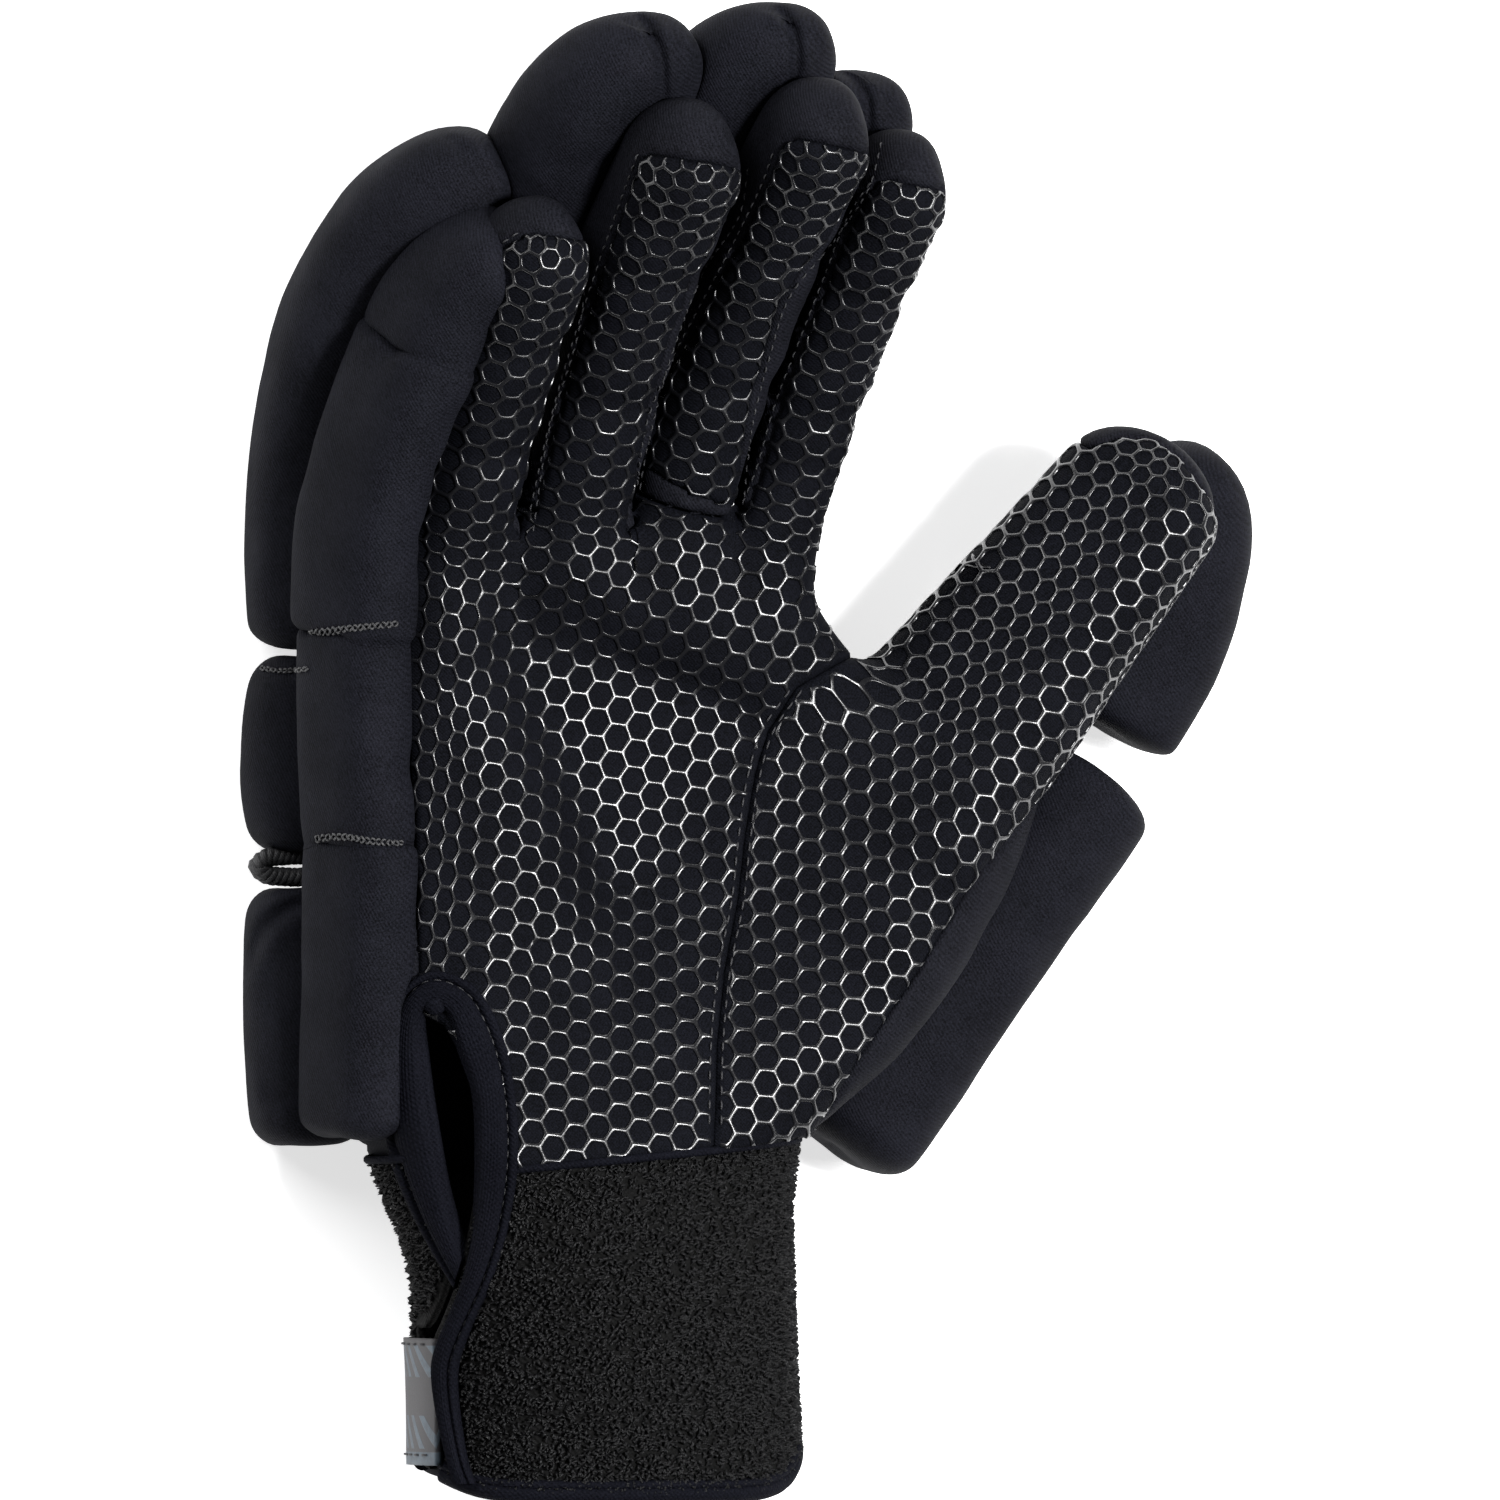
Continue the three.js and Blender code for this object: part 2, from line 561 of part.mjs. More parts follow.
const LOOKS = {
  print: new THREE.MeshStandardMaterial({ color: 0x0b0c10, roughness: 0.6, metalness: 0 }),
  knit: new THREE.MeshStandardMaterial({ color: 0x0c0c12, roughness: 0.9, metalness: 0 }),
  foam: new THREE.MeshStandardMaterial({ color: 0x0e0e15, roughness: 0.8, metalness: 0 }),
  terry: new THREE.MeshStandardMaterial({ color: 0x141414, roughness: 0.95, metalness: 0 }),
  tape: new THREE.MeshStandardMaterial({ color: 0x0d0d15, roughness: 0.75, metalness: 0 }),
  tab: new THREE.MeshStandardMaterial({ color: 0x4a474a, roughness: 0.7, metalness: 0 }),
};

// One named mesh from a solid
function meshOf({ name, solid, look }) {
  const made = solid.getMesh();
  const geometry = new THREE.BufferGeometry();
  geometry.setAttribute("position", new THREE.BufferAttribute(made.vertProperties, 3));
  geometry.setIndex(new THREE.BufferAttribute(made.triVerts, 1));
  geometry.computeVertexNormals();
  const mesh = new THREE.Mesh(geometry, LOOKS[look].clone());
  mesh.name = name;
  return mesh;
}

// The glove stands with the middle of its outline over the origin, its pads on the floor.
const glove = new THREE.Group();
pieces.forEach((piece) => glove.add(meshOf(piece)));
const middle = new THREE.Box3().setFromObject(glove).getCenter(new THREE.Vector3());
glove.position.set(-middle.x, -middle.y, 0);
export default glove;
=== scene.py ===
"""A padded indoor hockey glove for the right hand, lying palm up: its looks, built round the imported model.

The tables hold millimetres in the glove's own drawing frame: +X toward the thumb, +Y toward the
fingertips, +Z out of the palm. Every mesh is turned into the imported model's metres when it is made.
"""

from __future__ import annotations

import logging
import math
from dataclasses import dataclass, field
from enum import Enum
from functools import cache
from typing import Callable, Iterable, Sequence

import bpy
import numpy as np
from mathutils import Matrix, Vector
from mathutils.bvhtree import BVHTree


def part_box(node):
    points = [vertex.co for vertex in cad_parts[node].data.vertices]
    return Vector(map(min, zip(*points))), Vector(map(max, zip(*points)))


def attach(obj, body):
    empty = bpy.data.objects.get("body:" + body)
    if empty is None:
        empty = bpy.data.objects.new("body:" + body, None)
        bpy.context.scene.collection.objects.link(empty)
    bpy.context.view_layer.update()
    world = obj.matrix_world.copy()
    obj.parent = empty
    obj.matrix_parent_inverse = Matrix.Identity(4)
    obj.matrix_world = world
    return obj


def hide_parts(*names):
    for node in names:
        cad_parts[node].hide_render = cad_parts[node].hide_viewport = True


LOG = logging.getLogger("glove")
Array = np.ndarray
Table = Sequence[Sequence[float]]
Colour = tuple[float, float, float]

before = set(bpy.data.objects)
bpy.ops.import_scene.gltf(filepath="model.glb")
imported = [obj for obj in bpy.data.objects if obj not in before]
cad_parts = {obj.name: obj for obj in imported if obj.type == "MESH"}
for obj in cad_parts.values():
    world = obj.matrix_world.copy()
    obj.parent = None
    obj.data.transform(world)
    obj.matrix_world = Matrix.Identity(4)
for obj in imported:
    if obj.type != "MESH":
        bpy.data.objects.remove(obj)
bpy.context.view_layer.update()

MM = 0.001
ROOT_BODY = "root"
# The middle foam block of the upper row has this middle in the drawing frame
BLOCK_MIDDLE = (-36.5, -0.65)
LOW_CORNER, HIGH_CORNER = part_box("back_pad_upper_2")
DRAWING_ORIGIN = np.array([
    (LOW_CORNER.x + HIGH_CORNER.x) / 2 - BLOCK_MIDDLE[0] * MM,
    (LOW_CORNER.y + HIGH_CORNER.y) / 2 - BLOCK_MIDDLE[1] * MM,
    0.0,
])

# The photograph: its middle pixel is the drawing frame's origin, and it looks at the palm from a
# little on the little finger's side
PHOTO_SIZE = 1500
PHOTO_MIDDLE = PHOTO_SIZE / 2
PIXELS_PER_MM = 5.75
VIEW_TILT = math.radians(18)
VIEW_BACK = np.array([-math.sin(VIEW_TILT), 0.0, math.cos(VIEW_TILT)])
VIEW_RIGHT = np.array([math.cos(VIEW_TILT), 0.0, math.sin(VIEW_TILT)])
EYE_AWAY = 300.0  # a line of sight starts this far over the photograph's plane
EYE_SPAN = 85.0  # and the glove lies along this last stretch of it

# Thickness of the cloths
CLOTH = 2.0
TERRY = 2.6
NOISE_CELLS = 32  # the random lattice repeats after this many cells
SEAM_ROUND = 1.1  # a panel's edge rolls down over this width where it is sewn to the next
SEAM_DROP = 0.75  # and drops by this share of a round edge

ROOT = 14.0  # a stall sinks into the hand over this length behind its knuckle
END_ROUND = 6.0  # the hand and a stall's root close over this length
GIRTH_SHARE = 0.265  # a squared oval's way round, as a share of its two widths and its angle
STALL_START = 9.0  # a stall's own cloth starts this far past the knuckle
THUMB_STALL_START = 26.0


def smooth(low: float, high: float, value: Array) -> Array:
    """Gives 0 below low, 1 above high and a smooth step between them.

    Args:
        low: Where the step starts.
        high: Where the step ends.
        value: The values to step.

    Returns:
        The step at each value.
    """
    share = np.clip((value - low) / (high - low), 0, 1)
    return share * share * (3 - 2 * share)


def glide(at: Array, places: Sequence[float], values: Sequence[float]) -> Array:
    """Reads a smooth curve that runs through a table's points.

    Args:
        at: Where the curve is read.
        places: The table's places, rising.
        values: The table's value at each place.

    Returns:
        The curve's value at each place that was asked for.
    """
    x, v = np.asarray(places, float), np.asarray(values, float)
    slope = np.gradient(v, x)
    at = np.clip(at, x[0], x[-1])
    i = np.clip(np.searchsorted(x, at) - 1, 0, len(x) - 2)
    gap = x[i + 1] - x[i]
    t = (at - x[i]) / gap
    start = (1 + 2 * t) * (1 - t) ** 2 * v[i] + t * t * (3 - 2 * t) * v[i + 1]
    return start + gap * t * (1 - t) * ((1 - t) * slope[i] - t * slope[i + 1])


def section(table: Array, y: Array) -> Array:
    """Reads a table of sections, whose first column is y, at other places along the arm."""
    return np.stack([glide(y, table[:, 0], column) for column in table.T[1:]])


def squared(share: Array, power: float) -> Array:
    """Gives one coordinate of a unit outline squarer than a circle, from its sine or cosine."""
    return np.sign(share) * np.abs(share) ** (2 / power)


def unit(vectors: Array) -> Array:
    """Gives vectors of length one."""
    return vectors / np.maximum(np.linalg.norm(vectors, axis=-1, keepdims=True), 1e-12)


def smooth_union(a: Array, b: Array, width: float) -> Array:
    """Joins two distance fields with a fillet of the given width."""
    share = np.clip(0.5 + 0.5 * (b - a) / width, 0, 1)
    return b + (a - b) * share - width * share * (1 - share)


def rolled_down(level: Array) -> Array:
    """Gives how far a sewn edge rolls down at points this far inside it."""
    roll = np.clip(1 - level / SEAM_ROUND, 0, 1)
    return SEAM_ROUND * (1 - np.sqrt(np.maximum(0, 1 - roll * roll))) * SEAM_DROP


def soft_noise(points: Array, size: float, seed: int) -> Array:
    """Makes slow random unevenness in space.

    Args:
        points: Places, three numbers each.
        size: Distance over which it changes.
        seed: Seed of its random lattice.

    Returns:
        A number from -1 to 1 for each point.
    """
    lattice = np.random.default_rng(seed).uniform(-1, 1, (NOISE_CELLS,) * 3)
    cell = points / size
    low = np.floor(cell).astype(int)
    share = smooth(0, 1, cell - low)
    total = np.zeros(len(points))
    for corner in np.ndindex(2, 2, 2):
        i, j, k = ((low[:, n] + corner[n]) % NOISE_CELLS for n in range(3))
        weight = np.prod(np.where(corner, share, 1 - share), axis=1)
        total += weight * lattice[i, j, k]
    return total


def in_view(points: Array) -> Array:
    """Gives where points lie in the photograph's plane, in millimetres right and up of its middle."""
    return np.stack([points @ VIEW_RIGHT, points[..., 1]], axis=-1)


def photo_line(pixels: Table) -> Array:
    """Turns places in the photograph into millimetres right and up of its middle."""
    line = (np.asarray(pixels, float) - PHOTO_MIDDLE) / PIXELS_PER_MM
    return line * [1, -1]


def line_distance(points: Array, line: Array) -> tuple[Array, Array]:
    """Measures flat points against a line of straight stretches.

    Args:
        points: Flat points, two numbers each.
        line: The line's corners.

    Returns:
        Each point's distance to the line, positive on its left, and how far along the line its
        nearest place is.
    """
    nearest = np.full(len(points), np.inf)
    side = np.ones(len(points))
    along = np.zeros(len(points))
    run = 0.0
    for start, end in zip(line[:-1], line[1:]):
        way = end - start
        length = np.linalg.norm(way)
        way = way / length
        off = points - start
        share = np.clip(off @ way, 0, length)
        gap = np.linalg.norm(off - share[:, None] * way, axis=1)
        closer = gap < nearest - 1e-9
        cross = way[0] * off[:, 1] - way[1] * off[:, 0]
        nearest = np.where(closer, gap, nearest)
        side = np.where(closer, np.where(cross >= 0, 1.0, -1.0), side)
        along = np.where(closer, run + share, along)
        run += length
    return nearest * side, along


def outline_distance(points: Array, outline: Array) -> Array:
    """Measures flat points against a closed outline, positive outside it."""
    ring = np.vstack([outline, outline[:1]])
    gap = np.abs(line_distance(points, ring)[0])
    inside = np.zeros(len(points), bool)
    for a, b in zip(ring[:-1], ring[1:]):
        spans = (a[1] > points[:, 1]) != (b[1] > points[:, 1])
        with np.errstate(divide="ignore", invalid="ignore"):
            cross = (b[0] - a[0]) * (points[:, 1] - a[1]) / (b[1] - a[1]) + a[0]
        inside ^= spans & (points[:, 0] < cross)
    return np.where(inside, -gap, gap)


def run_along(line: Array) -> Array:
    """Gives each point's distance along a line from its start."""
    return np.concatenate([[0], np.cumsum(np.linalg.norm(np.diff(line, axis=0), axis=1))])


def read_line(at: Array, run: Array, line: Array) -> Array:
    """Reads what is given at a line's points at other distances along it."""
    return np.stack([np.interp(at, run, column) for column in line.T], axis=1)


def fine_line(corners: Array, step: float) -> Array:
    """Runs a smooth curve through a line's corners and cuts it into even steps.

    Args:
        corners: The line's corners, in two or three dimensions.
        step: Distance between two points of the result.

    Returns:
        The points.
    """
    corners = np.asarray(corners, float)
    run = run_along(corners)
    dense = np.linspace(0, run[-1], max(8 * len(corners), 200))
    curve = np.stack([glide(dense, run, column) for column in corners.T], axis=1)
    length = run_along(curve)
    count = max(2, int(round(length[-1] / step)) + 1)
    return read_line(np.linspace(0, length[-1], count), length, curve)


@dataclass(frozen=True)
class Limb:
    """One finger or thumb stall: a curve of steady bend that rises off the floor.

    Angles are degrees. lean turns toward the thumb, tilt rises from knuckle to tip, and roll turns
    the palm side toward the thumb.
    """

    name: str
    knuckle: tuple[float, float, float]
    lean: float
    tilt: tuple[float, float]
    roll: float
    length: float
    wide: tuple[float, float]
    deep: tuple[float, float]
    power: float = 2.5
    tip_round: float = 0.55

    @property
    def heading(self) -> Array:
        """Gives the flat direction in which the stall points."""
        lean = math.radians(self.lean)
        return np.array([math.sin(lean), math.cos(lean), 0.0])

    @property
    def flat(self) -> Array:
        """Gives the flat direction across the stall, toward the thumb."""
        return np.array([self.heading[1], -self.heading[0], 0.0])

    @property
    def bend(self) -> float:
        """Gives the stall's bend in radians for each millimetre."""
        return math.radians(self.tilt[1] - self.tilt[0]) / self.length

    def rolled(self, side: Array, lift: Array) -> tuple[Array, Array]:
        """Turns what lies across the stall and up from it by the stall's roll."""
        sine, cosine = math.sin(math.radians(self.roll)), math.cos(math.radians(self.roll))
        return side * cosine - lift * sine, lift * cosine + side * sine

    def local(self, points: Array) -> tuple[Array, Array, Array]:
        """Gives points as distance along the stall, across it and up out of its palm side."""
        off = points - np.array(self.knuckle)
        forward, side, rise = off @ self.heading, off @ self.flat, off[:, 2]
        start = math.radians(self.tilt[0])
        radius = 1 / self.bend
        out, up = forward + radius * math.sin(start), radius * math.cos(start) - rise
        along = (np.arctan2(out, up) - start) * radius
        lift = radius - np.hypot(out, up)
        straight = along < 0
        along = np.where(straight, forward * math.cos(start) + rise * math.sin(start), along)
        lift = np.where(straight, rise * math.cos(start) - forward * math.sin(start), lift)
        return along, *self.rolled(side, lift)

    def frames(self, along: Array) -> tuple[Array, Array, Array]:
        """Gives the middle, the across and the up direction at distances along the stall."""
        start = math.radians(self.tilt[0])
        bent, back = np.maximum(along, 0), np.minimum(along, 0)
        tilt = start + self.bend * bent
        out = (np.sin(tilt) - math.sin(start)) / self.bend + back * math.cos(start)
        rise = (math.cos(start) - np.cos(tilt)) / self.bend + back * math.sin(start)
        centre = np.array(self.knuckle) + out[:, None] * self.heading
        centre[:, 2] += rise
        lift = -np.sin(tilt)[:, None] * self.heading
        lift[:, 2] = np.cos(tilt)
        return centre, *self.rolled(self.flat, lift)

    def size(self, along: Array) -> tuple[Array, Array]:
        """Gives the stall's width and depth at distances along it."""
        share = np.clip(along / self.length, 0, 1)
        root = 1 - 0.5 * (np.clip(along, -ROOT, 0) / ROOT) ** 2
        return tuple((start + (end - start) * share) * root for start, end in (self.wide, self.deep))

    def girth(self, points: Array) -> tuple[Array, Array]:
        """Gives the distance along the stall and the way round it from the middle of its front."""
        along, across, up = self.local(points)
        wide, deep = self.size(along)
        return along, np.arctan2(across, up) * (wide + deep) * GIRTH_SHARE

    def distance(self, points: Array) -> Array:
        """Gives each point's distance outside the stall's form, negative inside."""
        along, across, up = self.local(points)
        wide, deep = self.size(along)
        cap = self.deep[1] * self.tip_round
        past = np.maximum(0, along - self.length + cap) / cap
        behind = np.maximum(0, -ROOT - along) / END_ROUND
        ratio = (np.abs(across / wide * 2) ** self.power + np.abs(up / deep * 2) ** self.power)
        ratio = np.sqrt(ratio ** (2 / self.power) + past**2 + behind**2)
        reach = np.sqrt(across**2 + up**2 + (past * cap) ** 2 + (behind * END_ROUND) ** 2)
        return reach * (1 - 1 / np.maximum(ratio, 1e-6))


PINKY = Limb("pinky", (-66, 30, 27), 8, (12, 50), 24, 75, (20, 17), (23, 20))
RING = Limb("ring", (-45, 34, 27), 9, (12, 54), 18, 92, (20, 19), (24, 22))
MIDDLE = Limb("middle", (-25.5, 36, 27), 12, (12, 54), 14, 95, (18, 18), (24, 22))
INDEX = Limb("index", (-7.6, 34, 27), 12, (12, 52), 8, 86, (17, 16.5), (24, 21))
THUMB = Limb("thumb", (17.4, -10.4, 28), 38.7, (1, 8), -28, 81, (41, 28), (25, 20))
FINGERS = (PINKY, RING, MIDDLE, INDEX)
LIMBS = (*FINGERS, THUMB)

# Sections of the hand: y, left, right, low, high, dip of its palm side
BODY = np.array([
    (-80, -75, -1, 9, 48, 0),
    (-70, -76, -1, 10, 47, 0),
    (-52, -77, 17, 12, 45, 2),
    (-32, -77, 32, 13.3, 43, 5),
    (-10, -76, 37, 13.3, 42, 7),
    (12, -76, 13, 13.3, 41, 7),
    (28, -76, 1, 13.3, 40, 4),
    (42, -74, 0, 16, 38, 2),
])
# Mounds and hollows of the palm: x, y, reach across, reach along, rise
MOUNDS = (
    (14, -34, 16, 22, 4.5),
    (-8, -56, 12, 14, 1.5),
    (-60, -38, 9, 24, 2.5),
    (-64, 20, 8, 8, 1.2),
    (-44, 24, 8, 8, 1.4),
    (-25, 26, 8, 8, 1.4),
    (-7, 24, 7, 8, 1.2),
    (-32, -14, 14, 26, -2.0),
)
# Lines in the photograph: the little finger mound's edge and the fold across the palm
MOUND_EDGE = ((440, 560), (459, 611), (500, 700), (566, 847), (590, 930), (595, 1010))
PALM_FOLD = ((548, 560), (579, 595), (608, 641), (642, 666), (692, 683), (742, 700), (790, 722))
JOINT_SHARES = (0.36, 0.66)  # where a finger's joints crease its front


def palm_fold(points: Array) -> tuple[Array, Array]:
    """Gives each point's distance to the fold across the palm, and a share that ends with the fold."""
    side, along = line_distance(in_view(points), photo_line(PALM_FOLD))
    return side, smooth(0, 8, along) * smooth(54, 44, along)


@dataclass
class HandForm:
    """The smooth form of the hand with its five stalls, as a distance field."""

    body_power: float = 3.0
    back_power: float = 5.0
    body_end: float = 36.0  # the hand's own form closes from this height on
    finger_fillet: float = 1.6
    palm_fillet: float = 5.0
    thumb_fillet: float = 9.0
    near: float = 14.0  # a stall's own field is worked out this far round it
    crease: float = 0.45  # depth of a joint's crease
    crease_wide: float = 2.6
    swell: float = 0.3  # the cloth rises by this much on both sides of such a crease
    mound_rise: float = 2.5  # rise of the little finger mound's edge
    hollow: float = 1.5  # and depth of the hollow beside it
    fold_rise: float = 2.1  # the palm's fold steps up by this much
    slow_bumps: tuple[float, float] = (0.26, 13.0)  # height and size of the cloth's unevenness
    fine_bumps: tuple[float, float] = (0.03, 4.5)

    def body(self, points: Array) -> Array:
        """Gives each point's distance outside the palm and back, without the stalls."""
        left, right, low, high, dip = section(BODY, points[:, 1])
        middle_x, middle_z = (left + right) / 2, (low + high) / 2
        u = (points[:, 0] - middle_x) / ((right - left) / 2)
        upper = smooth(0, 6, points[:, 2] - middle_z)
        dip = dip * np.maximum(0, 1 - u * u)
        for x, y, across, along, rise in MOUNDS:
            dip = dip - rise * np.exp(
                -(((points[:, 0] - x) / across) ** 2) - ((points[:, 1] - y) / along) ** 2)
        dip = dip - self.folds(points)
        lift = points[:, 2] + dip * upper - middle_z
        power = np.where(lift > 0, self.body_power, self.back_power)
        past = np.maximum(0, points[:, 1] - self.body_end) / END_ROUND
        ratio = (np.abs(u) ** power + np.abs(lift / ((high - low) / 2)) ** power) ** (1 / power)
        ratio = np.sqrt(ratio**2 + past**2)
        reach = np.sqrt((points[:, 0] - middle_x) ** 2 + lift**2 + (past * END_ROUND) ** 2)
        return reach * (1 - 1 / np.maximum(ratio, 1e-6))

    def folds(self, points: Array) -> Array:
        """Gives how far the palm's own folds lift the cloth at each point."""
        edge, along = line_distance(in_view(points), photo_line(MOUND_EDGE))
        ends = smooth(0, 14, along) * smooth(78, 62, along)
        lift = self.mound_rise * np.exp(-(((edge + 3.0) / np.where(edge < -3, 12, 6.5)) ** 2)) * ends
        lift -= self.hollow * np.exp(-(((edge - 8) / 7.5) ** 2)) * ends
        side, ends = palm_fold(points)
        return lift + ends * np.exp(-np.abs(side) / 26) * self.fold_rise * np.tanh((side - 1.5) / 4.2)

    def joint_creases(self, limb: Limb, points: Array) -> Array:
        """Gives how deep the creases at a finger's joints are at each point."""
        along, across, up = limb.local(points)
        front = smooth(-0.1, 0.7, up / limb.size(along)[1] * 2)
        depth = np.zeros(len(points))
        for share in JOINT_SHARES:
            off = (along - share * limb.length - 0.12 * across) / self.crease_wide
            swell = self.swell * np.exp(-(((np.abs(off) - 2.4) / 1.3) ** 2))
            depth += self.crease * np.exp(-off * off) - swell
        return depth * front

    def distance(self, points: Array) -> Array:
        """Gives each point's distance outside the whole hand's form, negative inside."""
        fields = []
        for limb in LIMBS:
            middle, _, _ = limb.frames(np.linspace(-ROOT, limb.length, 6))
            room = max(limb.wide) / 2 + self.near
            near = np.all((points > middle.min(0) - room) & (points < middle.max(0) + room), axis=1)
            value = np.full(len(points), 60.0)
            close = points[near]
            value[near] = limb.distance(close)
            if limb is not THUMB:
                value[near] += self.joint_creases(limb, close)
            fields.append(value)
        fingers, *others, thumb = fields
        for value in others:
            fingers = smooth_union(fingers, value, self.finger_fillet)
        hand = smooth_union(self.body(points), thumb, self.thumb_fillet)
        hand = smooth_union(hand, fingers, self.palm_fillet)
        for (height, size), seed in ((self.slow_bumps, 3), (self.fine_bumps, 5)):
            hand = hand - height * soft_noise(points, size, seed)
        return hand

    def slope(self, points: Array, step: float = 0.35) -> Array:
        """Gives the outward direction at each point."""
        ways = [self.distance(points + way) - self.distance(points - way) for way in step * np.eye(3)]
        return np.stack(ways, axis=1) / (2 * step)

    def settle(self, points: Array) -> tuple[Array, Array]:
        """Moves points onto the form's surface, and gives them with the outward directions there."""
        for _ in range(2):
            slope = self.slope(points)
            size = np.sum(slope * slope, axis=1, keepdims=True)
            off = self.distance(points)[:, None]
            points = points - np.clip(off / np.maximum(size, 0.05), -3, 3) * slope
        return points, unit(self.slope(points))


def halves(quads: Array) -> Array:
    """Cuts four-sided faces into triangles."""
    return np.concatenate([quads[:, [0, 1, 2]], quads[:, [0, 2, 3]]])


def surface_net(distance: Callable[[Array], Array], low: Array, high: Array,
                step: float) -> tuple[Array, Array]:
    """Finds the surface of a distance field as an even mesh of four-sided faces.

    Args:
        distance: The field.
        low: Lowest corner of the space to look in.
        high: Highest corner.
        step: Size of a cell.

    Returns:
        The mesh's points and its triangles.
    """
    counts = np.ceil((high - low) / step).astype(int) + 1
    xs, ys, zs = (low[n] + step * np.arange(counts[n]) for n in range(3))
    y, z = np.meshgrid(ys, zs, indexing="ij")
    values = np.empty(counts)
    for i, x in enumerate(xs):
        plane = np.stack([np.full(y.size, x), y.ravel(), z.ravel()], axis=1)
        values[i] = distance(plane).reshape(y.shape)
    inside = values < 0
    size = counts - 1
    total = sum(
        inside[a:a + size[0], b:b + size[1], c:c + size[2]].astype(np.int8)
        for a, b, c in np.ndindex(2, 2, 2))
    cells = np.argwhere((total > 0) & (total < 8))
    index = np.full(size, -1)
    index[tuple(cells.T)] = np.arange(len(cells))
    summed, count = np.zeros((len(cells), 3)), np.zeros(len(cells))
    for axis in range(3):
        others = [n for n in range(3) if n != axis]
        for shift in np.ndindex(2, 2):
            start = cells.copy()
            start[:, others] += shift
            end = start.copy()
            end[:, axis] += 1
            a, b = values[tuple(start.T)], values[tuple(end.T)]
            cut = (a < 0) != (b < 0)
            share = np.where(cut, a / np.where(cut, a - b, 1), 0)
            place = start.astype(float)
            place[:, axis] += share
            summed[cut] += place[cut]
            count += cut
    points = low + step * summed / count[:, None]
    faces = []
    for axis in range(3):
        one, two = [n for n in range(3) if n != axis]
        body = [slice(1, size[n]) for n in range(3)]
        body[axis] = slice(0, size[axis])
        first = inside[tuple(body)]
        body[axis] = slice(1, size[axis] + 1)
        spots = np.argwhere(first != inside[tuple(body)])
        spots[:, [one, two]] += 1
        flip = inside[tuple(spots.T)] == (axis == 1)
        corners = []
        for back_one, back_two in ((1, 1), (0, 1), (0, 0), (1, 0)):
            cell = spots.copy()
            cell[:, one] -= back_one
            cell[:, two] -= back_two
            corners.append(index[tuple(cell.T)])
        quad = np.stack(corners, axis=1)
        quad[flip] = quad[flip][:, ::-1]
        faces.append(quad)
    return points, halves(np.concatenate(faces))


